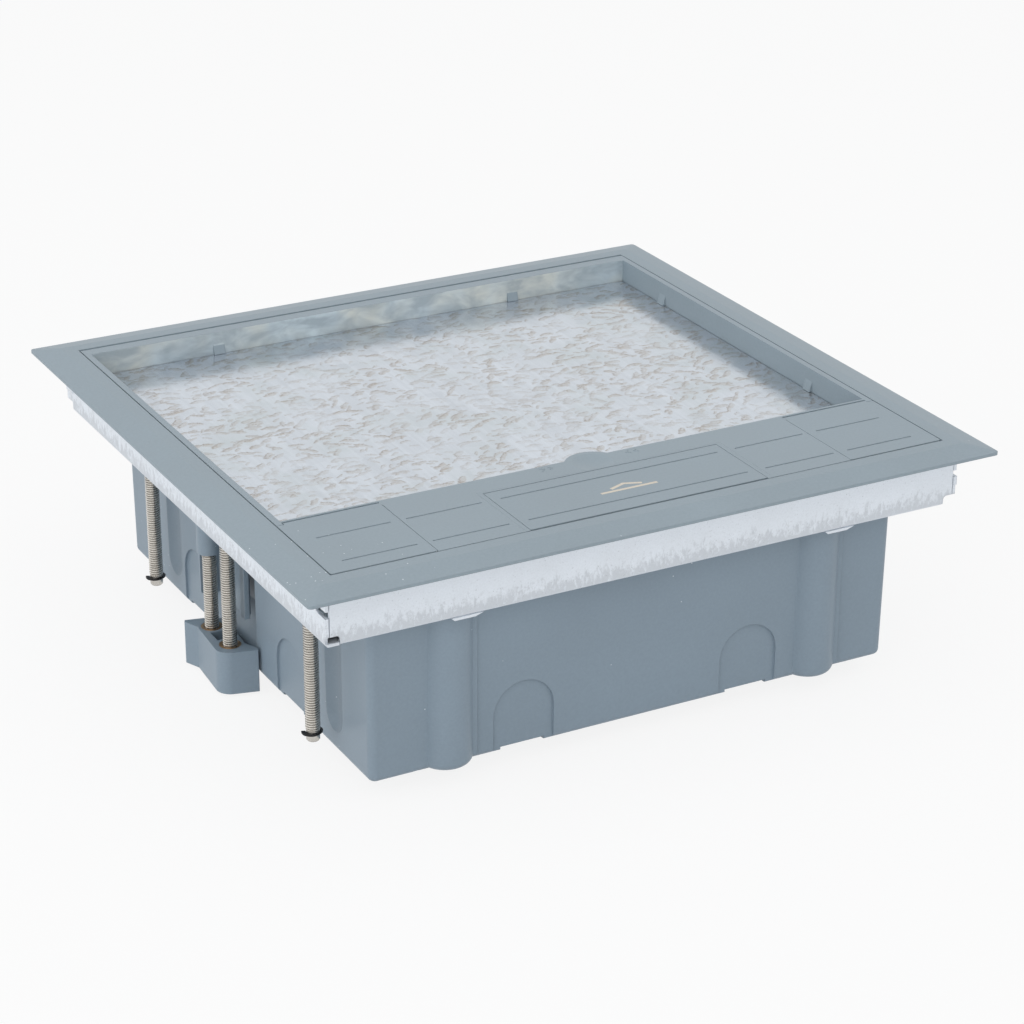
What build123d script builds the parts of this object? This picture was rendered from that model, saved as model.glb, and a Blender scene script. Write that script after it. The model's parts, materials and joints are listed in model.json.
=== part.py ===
from build123d import *
from math import radians, sqrt, tan
import os

os.makedirs("parts", exist_ok=True)

# A floor socket box that hangs in a cut-out of a floor.
# The origin is the centre of the cut-out at floor level, +Z is up, and the lid's handle edge faces -Y.

# Trim border that lies on the floor
trim_w = 290.0
trim_d = 276.0
trim_h = 3.3
trim_lip_t = 1.2
trim_flat = 5.6
trim_corner_r = 1.6
border = 15.4

# Lid and its floor covering recess
lid_gap = 0.5
rim_side = 2.6
rim_rear = 6.6
band_d = 49.1
recess_depth = 9.7
plate_t = 2.0
plate_gap = 0.3
plate_ledge = 6.0
ledge_t = 2.0
skin = 2.2
wall = 2.0
recess_wall = 4.0
rear_chamfer = 1.0
lid_corner_r = 0.8

# Cable flaps in the lid's front band
flap_w = 41.7
seam = 0.2
rest_gap = 0.3
running = 0.05
flap_rim = 1.0
flap_pin_r = 0.6
flap_pin_end = 2.2
flap_ease = 0.55
flap_front_gap = 0.4
flap_rib = 1.5
flap_rib_h = 3.0
flap_rest = 2.0

# Handle and its bezel
bezel_x = 52.4
bezel_y = 38.1
bezel_wall = 2.0
bezel_back = 1.3
bezel_floor = 1.2
handle_gap = 0.2
handle_front_gap = 0.7
handle_swing_r = 7.2
handle_pin_drop = 3.5
handle_pin_r = 1.5
handle_lug_r = 3.0
handle_rib = 1.5
handle_rib_h = 4.0
handle_grip = 3.0

# Finger grooves and scoop
groove_w = 0.7
groove_t = 0.4
groove_rear = 30.0
groove_front = 8.6
groove_inset = 2.1
groove_inset_flap = 4.1
groove_inset_handle = 3.5
scoop_r = 11.5
scoop_reach = 4.7
dish_r = 8.0
dish_t = 1.1
dish_shift = 1.5

# Snap tabs that hold the lid plate down
tab_w = 5.0
tab_proud = 1.3
tab_rise = 4.5
tab_gap = 0.1
tab_x = 70.0
tab_y_rear = 80.7
tab_y_front = -35.0

# Lid pivot in the side rails
pivot_from_rear = 10.1
pivot_z = -0.5
pivot_r = 1.5
pivot_short = 0.1
pivot_root = 2.0
swing_gap = 0.7

# Folded sheet rails of the frame
sheet = 1.2
rail_inset = 11.2
rail_h = 22.0
top_flange = 6.0
side_flange = 19.3
end_flange = 8.8
bend_r = 1.0
joint_gap = 0.3
foot_notch_w = 5.4
foot_notch_h = 3.7
foot_notch_r = 1.5
foot_notch_d = 1.2
open_notch_d = 6.0
corner_tab_w = 1.0
corner_tab_d = 6.2
corner_tab_h = 3.6
corner_tab_t = 0.3
corner_tab_z = -10.8
relief_d = 8.0
relief_h = 2.4
swage_w = 13.0
swage_h = 1.1
swage_shift = 1.2
swage_start = 1.2
swage_end = 3.4
pillar_clear = 0.8

# Lid seat ring inside the rails
seat_clear = 0.1
seat_wall = 2.0
seat_ledge = 7.8
seat_ledge_t = 2.0
seat_corner = 9.0
seat_corner_h = 4.5
lug_r = 6.5
lug_t = 2.3

# Moulded box
base_z = -88.0
box_side = 21.2
box_end = 11.2
box_drop = 0.3
box_draft = 0.5
box_corner_r = 3.0
box_foot_r = 2.5
box_wall = 3.1
box_floor = 2.5
pillar_inset = 33.1
pillar_r = 10.5
pillar_proud = 5.2
pillar_foot_r = 3.0
pillar_rib_w = 1.4
pillar_rib_t = 0.8
knock_w = 25.4
knock_h = 27.6
knock_t = 0.9
knock_from_pillar = 30.5
knock_from_channel = 2.2
knock_lift = 1.6
knock_foot = 3.4
knock_sill = 5.0
channel_w = 15.0
channel_foot_z = -73.2
pad_r = 4.6
pad_t = 0.8
pad_from_stud = 22.0
pad_z = -40.0

# Pockets in the side walls behind the clamps
pocket_front = -14.0
pocket_rear = 33.0
pocket_t = 8.0
pocket_slope_z = -66.0
pocket_foot_z = -80.0

# Height screws between the frame and the box
height_screw_r = 2.5
height_screw_foot_z = -70.0
height_screw_inset = 3.6
height_head_r = 4.4
height_head_h = 3.2
height_hole_r = 2.8
height_nut_af = 8.0
height_nut_h = 4.0
boss_r = 6.5
bore_spare = 1.0
drive_w = 1.2
drive_t = 1.6

# Corner studs and their clips
stud_r = 3.0
stud_inset = 12.8
stud_from_rear = 47.6
stud_from_front = 30.6
stud_rise = 5.4
stud_rear_drop = 1.0
stud_foot_z = -81.5
clip_z = -78.3
clip_t = 0.9
clip_r = 4.4
clip_mouth = 3.6
clip_groove_r = 2.2
clip_blade_t = 0.7
stud_chamfer = 0.9
stud_nut_af = 10.0
stud_nut_h = 5.0
flange_hole_r = 3.4

# Clamps under the side rails
clamp_inset = 12.8
clamp_y = 0.6
clamp_pitch = 18.0
clamp_screw_r = 3.0
clamp_end_r = 3.6
clamp_end_t = 1.2
clamp_end_gap = 0.1
clamp_head_r = 5.0
clamp_head_h = 3.4
claw_top_z = -76.0
claw_h = 18.0
claw_half = 7.3
claw_shoulder_y = 15.2
claw_lobe_r = 6.2
claw_tip_x = 8.2
claw_tip_y = 18.8
claw_tip_t = 1.3
claw_neck_x = 5.4
claw_neck_y = 10.8
claw_pocket_w = 6.0
claw_pocket_d = 7.4
claw_pocket_t = 12.0
insert_r = 4.4
guide_foot_z = -66.4
guide_gap = 0.4
guide_t = 2.4
guide_front = -9.6
guide_rear = 20.0
guide_bar_w = 2.1
guide_bar_d = 4.0
guide_lap = 0.5
guide_fin_proud = 8.1
guide_fin_w = 1.4
guide_cap_proud = 12.7
guide_cap_t = 4.0
guide_boss_r = 4.7
guide_boss_z = -43.6
guide_web = 3.0

# Module supports and outlets inside the box
module = 45.0
row_margin = 22.0
row_inset = 57.6
row_pitch = 74.0
support_t = 2.5
support_rim = 8.0
support_face_z = -52.0
support_foot = 10.0
module_gap = 0.2
module_face = 2.4
module_lip = 3.0
module_body_h = 24.0
module_body_wall = 1.8
slot_w = 3.6
slot_l = 7.6
slot_t = 1.6
slot_spread = 11.0
port_w = 14.0
port_t = 0.6
support_screw_r = 1.75
support_screw_len = 4.5
support_head_r = 3.4
support_head_h = 2.0
support_boss_r = 4.0
support_boss_h = 3.0
support_boss_y = 20.0

# Sizes that follow from the ones above
open_w = trim_w - 2 * border
open_d = trim_d - 2 * border
lid_x = open_w / 2 - lid_gap
flap_seam_x = lid_x - flap_w
lid_front = -(open_d / 2 - lid_gap)
lid_rear = open_d / 2 - lid_gap
recess_x = lid_x - rim_side
recess_rear = lid_rear - rim_rear
recess_front = lid_front + band_d
plate_z = trim_h - recess_depth
plate_foot_z = plate_z - plate_t
lid_foot_z = plate_foot_z - ledge_t
skin_z = trim_h - skin
flap_rear = recess_front - flap_rim
flap_barrel_r = skin / 2
flap_axis_y = flap_rear - seam - flap_barrel_r
flap_axis_z = trim_h - flap_barrel_r
bezel_rear = lid_front + bezel_y
handle_x = bezel_x - bezel_wall - handle_gap
handle_axis_z = trim_h - handle_pin_drop
handle_rear = bezel_rear - bezel_back - handle_gap
handle_axis_y = handle_rear - sqrt(handle_swing_r**2 - handle_pin_drop**2)
well_r = handle_swing_r + rest_gap
pivot_y = lid_rear - pivot_from_rear
swing_r = sqrt(pivot_from_rear**2 + (pivot_z - lid_foot_z) ** 2) + swing_gap
rail_w = trim_w - 2 * rail_inset
rail_d = trim_d - 2 * rail_inset
pivot_end = rail_w / 2 - pivot_short
flange_z = -rail_h + sheet
seat_z = lid_foot_z - rest_gap
seat_x = rail_w / 2 - sheet - seat_clear
seat_y = rail_d / 2 - sheet - seat_clear
box_w = rail_w - 2 * box_side
box_d = rail_d - 2 * box_end
box_top_z = -rail_h - box_drop
box_lean = (box_top_z - base_z) * tan(radians(box_draft))
floor_z = base_z + box_floor
pillar_x = box_w / 2 - pillar_inset
knock_x = pillar_x - knock_from_pillar
screw_y = box_d / 2 - height_screw_inset
lug_z = flange_z + lug_t
stud_x = rail_w / 2 - stud_inset
stud_front_y = stud_from_front - box_d / 2
stud_rear_y = box_d / 2 - stud_from_rear
stud_top_z = flange_z + stud_rise
pad_y = stud_front_y + pad_from_stud
knock_y = stud_rear_y - (channel_w + knock_w) / 2 - knock_from_channel
channel_r = sqrt((channel_w / 2) ** 2 + (stud_x - box_w / 2) ** 2)
clamp_x = rail_w / 2 - clamp_inset
claw_foot_z = claw_top_z - claw_h
clamp_end_z = claw_foot_z - clamp_end_gap
guide_x = clamp_x - claw_half - guide_gap
guide_bar_y = guide_front + guide_bar_d
claw_flank = (claw_half - claw_neck_x) / (claw_neck_y + claw_shoulder_y)
guide_bar_x = clamp_x - claw_neck_x - claw_flank * (guide_bar_y - clamp_y + claw_neck_y) - guide_gap
clamp_rear_y = clamp_y + clamp_pitch / 2
clamp_front_y = clamp_y - clamp_pitch / 2
gangs = int((box_w - 2 * row_margin) / module)
row_rear_y = box_d / 2 - row_inset
row_front_y = row_rear_y - row_pitch
support_x = gangs * module / 2 + module_gap + support_rim
support_y = module / 2 + module_gap + support_rim
support_foot_z = floor_z + support_boss_h
support_boss_x = support_x - (support_foot + support_t) / 2

corners = {"front_left": (-1, -1), "front_right": (1, -1), "rear_left": (-1, 1), "rear_right": (1, 1)}
stud_spots = [(sx * stud_x, y) for sx in (-1, 1) for y in (stud_front_y, stud_rear_y)]
screw_spots = [(sx * pillar_x, sy * screw_y) for sx, sy in corners.values()]
pillar_spots = [(sx * pillar_x, sy * (box_d / 2 + pillar_proud - pillar_r)) for sx, sy in corners.values()]
clamp_spots = [(-clamp_x, clamp_rear_y), (-clamp_x, clamp_front_y)]
support_spots = [
    (side * support_boss_x, row + end * support_boss_y)
    for side in (-1, 1)
    for row in (row_front_y, row_rear_y)
    for end in (-1, 1)
]
all_clamp_spots = clamp_spots + [(-x, -y) for x, y in clamp_spots]


def keep(name, piece):
    """Label a finished piece and write it to its own file."""
    piece.label = name
    export_step(piece, f"parts/{name}.step")


def block(x0, x1, y0, y1, z0, z1, mode=Mode.ADD):
    """A block given by its two opposite corners."""
    with Locations(((x0 + x1) / 2, (y0 + y1) / 2, (z0 + z1) / 2)):
        Box(abs(x1 - x0), abs(y1 - y0), abs(z1 - z0), mode=mode)


def pin_z(x, y, radius, z0, z1, mode=Mode.ADD):
    """A round pin or hole along Z."""
    with Locations((x, y, (z0 + z1) / 2)):
        Cylinder(radius, abs(z1 - z0), mode=mode)


def pin_x(x0, x1, y, z, radius, mode=Mode.ADD):
    """A round pin or hole along X."""
    with Locations(((x0 + x1) / 2, y, z)):
        Cylinder(radius, abs(x1 - x0), rotation=(0, 90, 0), mode=mode)


def drive_slot(x, y, reach, top):
    """A screwdriver slot along X across the head or end of a screw."""
    block(x - reach, x + reach, y - drive_w / 2, y + drive_w / 2, top - drive_t, top, Mode.SUBTRACT)


def recess(x, y, width, depth, sink):
    """A shallow rectangular recess in an outlet's face."""
    z_face = support_face_z + module_face
    block(x - width / 2, x + width / 2, y - depth / 2, y + depth / 2, z_face - sink, z_face, Mode.SUBTRACT)


def finger_grooves(x0, x1):
    """Two shallow grooves along X across a panel of the lid's front band."""
    for offset_y in (groove_rear, groove_front):
        y = lid_front + offset_y
        block(x0, x1, y - groove_w / 2, y + groove_w / 2, trim_h - groove_t, trim_h, Mode.SUBTRACT)


def rail_section(plane, flange):
    """Folded sheet section in the rail's own plane: top flange outward, web, bottom flange inward."""
    with BuildSketch(plane) as section:
        with BuildLine():
            Polyline(
                (-top_flange, sheet),
                (sheet, sheet),
                (sheet, flange_z),
                (flange, flange_z),
                (flange, -rail_h),
                (0, -rail_h),
                (0, 0),
                (-top_flange, 0),
                close=True,
            )
        make_face()
        fillet(vertices().sort_by_distance((0, -rail_h))[0], bend_r)
        fillet(vertices().sort_by_distance((sheet, sheet))[0], bend_r)
    return section.sketch


def snap_tab(plane):
    """A wedge on a recess wall; the plane's x runs into the wall, its y up and its normal along the wall."""
    with BuildSketch(plane) as wedge:
        with BuildLine():
            Polyline((0, 0), (-tab_proud, 0), (0, tab_rise), close=True)
        make_face()
    extrude(wedge.sketch, amount=tab_w / 2, both=True)


def knock_out(plane, middle):
    """The arched outline of a cable entry, standing on the box's foot line; the plane's y is up."""
    with BuildSketch(plane) as arch:
        with Locations((middle, base_z + (knock_h - knock_w / 2) / 2)):
            Rectangle(knock_w, knock_h - knock_w / 2)
        with Locations((middle, base_z + knock_h - knock_w / 2)):
            Circle(knock_w / 2)
    return arch.sketch


# Trim border: a thin lip, a bevel up to a flat inner band, and a rebate over the rails' top flanges
with BuildPart() as trim_frame:
    bevel = border - trim_flat
    rebate = top_flange + joint_gap
    with BuildSketch(Plane.XY):
        RectangleRounded(trim_w, trim_d, trim_corner_r)
    extrude(amount=trim_lip_t)
    with BuildSketch(Plane.XY.offset(trim_lip_t)):
        RectangleRounded(trim_w, trim_d, trim_corner_r)
    with BuildSketch(Plane.XY.offset(trim_h)):
        RectangleRounded(trim_w - 2 * bevel, trim_d - 2 * bevel, trim_corner_r)
    loft()
    with BuildSketch(Plane.XY):
        Rectangle(open_w, open_d)
    extrude(amount=trim_h, mode=Mode.SUBTRACT)
    with BuildSketch(Plane.XY):
        Rectangle(rail_w + 2 * rebate, rail_d + 2 * rebate)
    extrude(amount=sheet, mode=Mode.SUBTRACT)
keep("trim_frame", trim_frame.part)


def side_rail(holes, open_end):
    """The left side rail with its holes; the notch at its open end also goes through the bottom flange."""
    section = Plane(origin=(-rail_w / 2, rail_d / 2, 0), x_dir=(1, 0, 0), z_dir=(0, -1, 0))
    extrude(rail_section(section, side_flange), amount=rail_d)
    x_out = -rail_w / 2
    x_in = x_out + sheet
    z_tab = corner_tab_z - corner_tab_h
    for end in (-1, 1):
        y_end = end * rail_d / 2
        y_tab = y_end + end * corner_tab_t
        y_relief = y_end - end * relief_d
        block(x_out, x_in, y_end, y_relief, corner_tab_z, corner_tab_z + relief_h, Mode.SUBTRACT)
        block(x_out - corner_tab_t, x_out, y_tab, y_end - end * corner_tab_d, z_tab, corner_tab_z)
        block(x_out, x_out + corner_tab_w, y_end, y_tab, z_tab, corner_tab_z)
        x_notch = x_out + foot_notch_w
        z_notch = foot_notch_h - rail_h
        y_lap = y_end - end * (sheet + joint_gap)
        block(x_notch - joint_gap, x_out + side_flange, y_end, y_lap, -rail_h, flange_z, Mode.SUBTRACT)
        if end == open_end:
            block(x_out, x_notch, y_end, y_end - end * open_notch_d, -rail_h, z_notch, Mode.SUBTRACT)
        else:
            block(x_out, x_in, y_end, y_end - end * foot_notch_d, flange_z, z_notch, Mode.SUBTRACT)
    for x, y in holes:
        pin_z(x, y, flange_hole_r, -rail_h, flange_z, Mode.SUBTRACT)
    pin_x(x_out, x_in, pivot_y, pivot_z, pivot_r + running, Mode.SUBTRACT)


with BuildPart() as left_rail:
    side_rail(stud_spots[:2] + clamp_spots, 1)
keep("left_rail", left_rail.part)

with BuildPart() as right_rail:
    side_rail(stud_spots[:2] + [(x, -y) for x, y in clamp_spots], -1)
keep("right_rail", mirror(right_rail.part, about=Plane.YZ))

# End rail: fits between the side rails, with swages and clearances over the box's pillars
end_half = rail_w / 2 - sheet - joint_gap
end_plane = Plane(origin=(-end_half, -rail_d / 2, 0), x_dir=(0, 1, 0), z_dir=(1, 0, 0))
with BuildPart() as front_rail:
    extrude(rail_section(end_plane, end_flange), amount=2 * end_half)
    y_face = -rail_d / 2
    crest = -(box_d / 2 + pillar_proud + pillar_clear)
    for side in (-1, 1):
        x_in = side * (rail_w / 2 - side_flange - joint_gap)
        block(x_in, side * rail_w / 2, y_face + sheet, y_face + end_flange, -rail_h, flange_z, Mode.SUBTRACT)
        with BuildSketch(Plane.XZ.offset(-y_face)):
            with Locations((side * rail_w / 2, -rail_h)):
                RectangleRounded(2 * foot_notch_w, 2 * foot_notch_h, foot_notch_r)
        extrude(amount=-sheet, mode=Mode.SUBTRACT)
        half = pillar_r + pillar_clear
        x_mid = side * pillar_x
        block(x_mid - half, x_mid + half, crest, y_face + end_flange, -rail_h, flange_z, Mode.SUBTRACT)
        with BuildSketch(Plane.XZ.offset(-y_face)):
            x_swage = x_mid + swage_shift - swage_w / 2
            with BuildLine():
                Polyline(
                    (x_swage, -rail_h),
                    (x_swage + swage_start, -rail_h - swage_h),
                    (x_swage + swage_w - swage_end, -rail_h - swage_h),
                    (x_swage + swage_w, -rail_h),
                    close=True,
                )
            make_face()
        extrude(amount=-sheet)
keep("front_rail", front_rail.part)
keep("rear_rail", front_rail.part.rotate(Axis.Z, 180))

# Lid seat: a ring on the rails' bottom flanges, with a ledge below the lid and lugs for the height screws
with BuildPart() as lid_seat:
    with BuildSketch(Plane.XY.offset(flange_z)):
        Rectangle(2 * seat_x, 2 * seat_y)
        Rectangle(2 * (seat_x - seat_wall), 2 * (seat_y - seat_wall), mode=Mode.SUBTRACT)
    extrude(amount=seat_z - flange_z)
    with BuildSketch(Plane.XY.offset(seat_z - seat_ledge_t)):
        Rectangle(2 * seat_x, 2 * seat_y)
        Rectangle(2 * (seat_x - seat_ledge), 2 * (seat_y - seat_ledge), mode=Mode.SUBTRACT)
    extrude(amount=seat_ledge_t)
    block(-seat_x, seat_x, pivot_y - swing_r, seat_y, pivot_z - swing_r, seat_z, Mode.SUBTRACT)
    with BuildSketch(Plane.XY.offset(flange_z)):
        for sx, sy in corners.values():
            with Locations((sx * pillar_x, sy * screw_y)):
                Circle(lug_r)
            with Locations((sx * pillar_x, sy * (screw_y + seat_y - seat_wall) / 2)):
                Rectangle(2 * lug_r, seat_y - seat_wall - screw_y)
    extrude(amount=lug_t)
    for x, y in screw_spots:
        pin_z(x, y, height_hole_r, flange_z, lug_z, Mode.SUBTRACT)
    for sx, sy in corners.values():
        x_cut = sx * (seat_x - seat_corner)
        y_cut = sy * (seat_y - seat_corner)
        block(sx * seat_x, x_cut, sy * seat_y, y_cut, flange_z, flange_z + seat_corner_h, Mode.SUBTRACT)
keep("lid_seat", lid_seat.part)

# Nuts under the side rails that the corner studs turn in
with BuildPart() as stud_nuts:
    with BuildSketch(Plane.XY.offset(-rail_h - stud_nut_h)):
        with Locations(*stud_spots):
            RegularPolygon(stud_nut_af / 2, 6, major_radius=False)
            Circle(stud_r + running, mode=Mode.SUBTRACT)
    extrude(amount=stud_nut_h)
keep("stud_nuts", stud_nuts.part)

# Clamp guide: hangs under the side rail, with a bar in front, a fin behind and a boss round the rear screw
with BuildPart() as clamp_guide_left:
    guide_in = guide_x - guide_t
    block(-guide_x, -guide_in, guide_bar_y - guide_lap, guide_rear, guide_foot_z, -rail_h)
    block(-guide_bar_x, guide_bar_w - guide_bar_x, guide_front, guide_bar_y, guide_foot_z, -rail_h)
    block(-guide_x - guide_fin_proud, -guide_x, guide_rear - guide_fin_w, guide_rear, guide_foot_z, -rail_h)
    block(-guide_x - guide_cap_proud, -guide_in, guide_front, guide_rear, -rail_h - guide_cap_t, -rail_h)
    pin_z(-clamp_x, clamp_rear_y, guide_boss_r, guide_boss_z, -rail_h)
    y_web = clamp_rear_y - guide_web / 2
    block(-clamp_x, -guide_x, y_web, y_web + guide_web, guide_boss_z, -rail_h)
    for x, y in clamp_spots:
        pin_z(x, y, flange_hole_r, guide_boss_z, -rail_h, Mode.SUBTRACT)
    foot_edges = clamp_guide_left.edges().group_by(Axis.Z)[0].filter_by(Axis.Y)
    chamfer(foot_edges.sort_by(Axis.X)[0], guide_web / 2)
keep("clamp_guide_left", clamp_guide_left.part)
keep("clamp_guide_right", clamp_guide_left.part.rotate(Axis.Z, 180))

# Lid frame: rims round the floor covering recess, a plate ledge, and a hollow front band
with BuildPart() as lid_frame:
    with BuildSketch(Plane.XY.offset(lid_foot_z)):
        with Locations((0, (recess_front - recess_wall + lid_rear) / 2)):
            Rectangle(2 * lid_x, lid_rear - recess_front + recess_wall)
    extrude(amount=trim_h - lid_foot_z)
    chamfer(lid_frame.edges().filter_by(Axis.X).group_by(Axis.Z)[-1].sort_by(Axis.Y)[-1], rear_chamfer)
    block(-recess_x, recess_x, recess_front, recess_rear, plate_foot_z, trim_h, Mode.SUBTRACT)
    window_x = recess_x - plate_ledge
    window_y0 = recess_front + plate_ledge
    window_y1 = recess_rear - plate_ledge
    block(-window_x, window_x, window_y0, window_y1, lid_foot_z, plate_foot_z, Mode.SUBTRACT)
    wall_front = recess_front - recess_wall
    for side in (-1, 1):
        x_seam = side * (flap_seam_x + seam)
        block(x_seam, side * recess_x, wall_front, flap_rear, skin_z - rest_gap, trim_h, Mode.SUBTRACT)
        x_out = side * lid_x
        y_rim = flap_axis_y - flap_barrel_r
        block(side * recess_x, x_out, wall_front, y_rim, skin_z - rest_gap, trim_h, Mode.SUBTRACT)
        rim_edges = lid_frame.edges().filter_by(Axis.X)
        chamfer(rim_edges.sort_by_distance((side * (recess_x + lid_x) / 2, y_rim, trim_h))[0], flap_ease)
    block(-flap_seam_x, flap_seam_x, lid_front, recess_front, skin_z, trim_h)
    for side in (-1, 1):
        x_cheek = side * flap_seam_x
        block(x_cheek, x_cheek - side * wall, lid_front, recess_front, lid_foot_z, skin_z)
        z_rest = skin_z - rest_gap
        block(x_cheek, x_cheek + side * flap_rest, lid_front + wall, wall_front, z_rest - wall, z_rest)
        x_inner = side * bezel_x
        block(x_inner, x_inner + side * wall, lid_front, recess_front - recess_wall, lid_foot_z, skin_z)
        block(x_inner, x_cheek, lid_front, lid_front + wall, lid_foot_z, skin_z)
    scoop_y = recess_front + scoop_reach - scoop_r
    pin_z(0, scoop_y, scoop_r, plate_z + plate_gap, trim_h)
    block(-bezel_x, bezel_x, lid_front, bezel_rear, lid_foot_z, trim_h, Mode.SUBTRACT)
    block(-bezel_x, bezel_x, bezel_rear, bezel_rear + wall, lid_foot_z, skin_z, Mode.SUBTRACT)
    dish_ball = (dish_r**2 + dish_t**2) / (2 * dish_t)
    with Locations((0, scoop_y + dish_shift, trim_h - dish_t + dish_ball)):
        Sphere(dish_ball, mode=Mode.SUBTRACT)
    for side in (-1, 1):
        finger_grooves(side * (bezel_x + groove_inset), side * (flap_seam_x - groove_inset))
        x_pin = side * (flap_seam_x - flap_pin_end)
        pin_x(x_pin, side * (flap_seam_x + seam), flap_axis_y, flap_axis_z, flap_pin_r, Mode.SUBTRACT)
        x_pin = side * (recess_x + flap_pin_end)
        pin_x(side * recess_x, x_pin, flap_axis_y, flap_axis_z, flap_pin_r, Mode.SUBTRACT)
        x_pivot = side * (lid_x - pivot_root)
        pin_x(x_pivot, side * lid_x, pivot_y, pivot_z, pivot_r, Mode.SUBTRACT)
    z_tab = plate_z + tab_gap
    for x in (-tab_x, tab_x):
        snap_tab(Plane(origin=(x, recess_rear, z_tab), x_dir=(0, 1, 0), z_dir=(1, 0, 0)))
    for side in (-1, 1):
        for y in (tab_y_front, tab_y_rear):
            snap_tab(Plane(origin=(side * recess_x, y, z_tab), x_dir=(side, 0, 0), z_dir=(0, -side, 0)))
keep("lid_frame", lid_frame.part)

# Plate that carries the floor covering
with BuildPart() as lid_plate:
    x_plate = recess_x - plate_gap
    block(-x_plate, x_plate, recess_front + plate_gap, recess_rear - plate_gap, plate_foot_z, plate_z)
keep("lid_plate", lid_plate.part)

# Pins that carry the lid in the side rails
with BuildPart() as lid_pivots:
    for side in (-1, 1):
        pin_x(side * (lid_x - pivot_root), side * pivot_end, pivot_y, pivot_z, pivot_r)
keep("lid_pivots", lid_pivots.part)

# Pins that carry the cable flaps
with BuildPart() as flap_pins:
    for side in (-1, 1):
        x_start = side * (flap_seam_x - flap_pin_end)
        pin_x(x_start, side * (recess_x + flap_pin_end), flap_axis_y, flap_axis_z, flap_pin_r)
keep("flap_pins", flap_pins.part)

# Cable flap: a plate with a hinge barrel at its rear edge and stiffening ribs below
with BuildPart() as flap_right:
    x_in = flap_seam_x + seam
    y_front = lid_front + flap_front_gap
    block(x_in, lid_x, y_front, flap_axis_y, skin_z, trim_h)
    fillet(flap_right.edges().filter_by(Axis.Z).sort_by_distance((lid_x, y_front, skin_z))[0], lid_corner_r)
    x_notch = recess_x - seam
    block(x_notch, lid_x, flap_axis_y - flap_barrel_r - seam, flap_axis_y, skin_z, trim_h, Mode.SUBTRACT)
    pin_x(x_in, x_notch, flap_axis_y, flap_axis_z, flap_barrel_r)
    pin_x(x_in, x_notch, flap_axis_y, flap_axis_z, flap_pin_r + running, Mode.SUBTRACT)
    x_rib = lid_x - flap_rib
    y_rib = y_front + flap_rib
    block(x_rib, lid_x - seam, y_front + seam, wall_front - flap_rest, skin_z - flap_rib_h, skin_z)
    block(x_in + flap_rest + seam, x_rib, y_front + seam, y_rib, skin_z - flap_rib_h, skin_z)
    finger_grooves(flap_seam_x + groove_inset_flap, lid_x - 2 * groove_inset_flap)
keep("flap_right", flap_right.part)
keep("flap_left", mirror(flap_right.part, about=Plane.YZ))

# Handle bezel: a shallow well with a round back that the handle's tail swings in
with BuildPart() as handle_bezel:
    z_floor = handle_axis_z - well_r
    z_lip = skin_z - rest_gap
    x_well = bezel_x - bezel_wall
    block(-bezel_x, bezel_x, lid_front, bezel_rear, z_floor - bezel_floor, trim_h)
    block(-bezel_x, bezel_x, bezel_rear, bezel_rear + wall, z_floor - bezel_floor, skin_z)
    block(-x_well, x_well, lid_front + bezel_wall, handle_axis_y, z_floor, trim_h, Mode.SUBTRACT)
    block(-x_well, x_well, lid_front, lid_front + bezel_wall, z_lip, trim_h, Mode.SUBTRACT)
    pin_x(-x_well, x_well, handle_axis_y, handle_axis_z, well_r, Mode.SUBTRACT)
    for side in (-1, 1):
        x_end = side * (bezel_x - handle_gap)
        pin_x(side * x_well, x_end, handle_axis_y, handle_axis_z, handle_pin_r, Mode.SUBTRACT)
keep("handle_bezel", handle_bezel.part)

with BuildPart() as handle_pin:
    x_end = bezel_x - handle_gap
    pin_x(-x_end, x_end, handle_axis_y, handle_axis_z, handle_pin_r)
keep("handle_pin", handle_pin.part)

# Handle: a flat grip whose tail is an arc about its pin, with ribs and pin lugs below
with BuildPart() as handle:
    y_front = lid_front + handle_front_gap
    tail_low = handle_axis_y + sqrt(handle_swing_r**2 - (skin_z - handle_axis_z) ** 2)
    tail_mid_z = (skin_z + trim_h) / 2
    tail_mid = handle_axis_y + sqrt(handle_swing_r**2 - (tail_mid_z - handle_axis_z) ** 2)
    with BuildSketch(Plane.YZ.offset(-handle_x)):
        with BuildLine():
            Polyline((tail_low, skin_z), (y_front, skin_z), (y_front, trim_h), (handle_rear, trim_h))
            ThreePointArc((handle_rear, trim_h), (tail_mid, tail_mid_z), (tail_low, skin_z))
        make_face()
    extrude(amount=2 * handle_x)
    y_grip = lid_front + bezel_wall + rest_gap
    z_rib = trim_h - skin - handle_rib_h
    for side in (-1, 1):
        x_out = side * handle_x
        block(x_out, x_out - side * handle_rib, y_grip + handle_grip, handle_axis_y, z_rib, skin_z)
        pin_x(x_out, x_out - side * handle_rib, handle_axis_y, handle_axis_z, handle_lug_r)
    block(-handle_x, handle_x, y_grip, y_grip + handle_rib, z_rib + handle_rib, skin_z)
    pin_x(-handle_x, handle_x, handle_axis_y, handle_axis_z, handle_pin_r + running, Mode.SUBTRACT)
    finger_grooves(-(handle_x - groove_inset_handle), handle_x - groove_inset_handle)
keep("handle", handle.part)

# Half-round pillars of the box, rounded at the foot
with BuildPart() as pillars:
    with BuildSketch(Plane.XY.offset(base_z)):
        with Locations(*pillar_spots):
            Circle(pillar_r)
    extrude(amount=box_top_z - base_z)
    fillet(pillars.edges().filter_by(GeomType.CIRCLE).group_by(Axis.Z)[0], pillar_foot_r)

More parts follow.
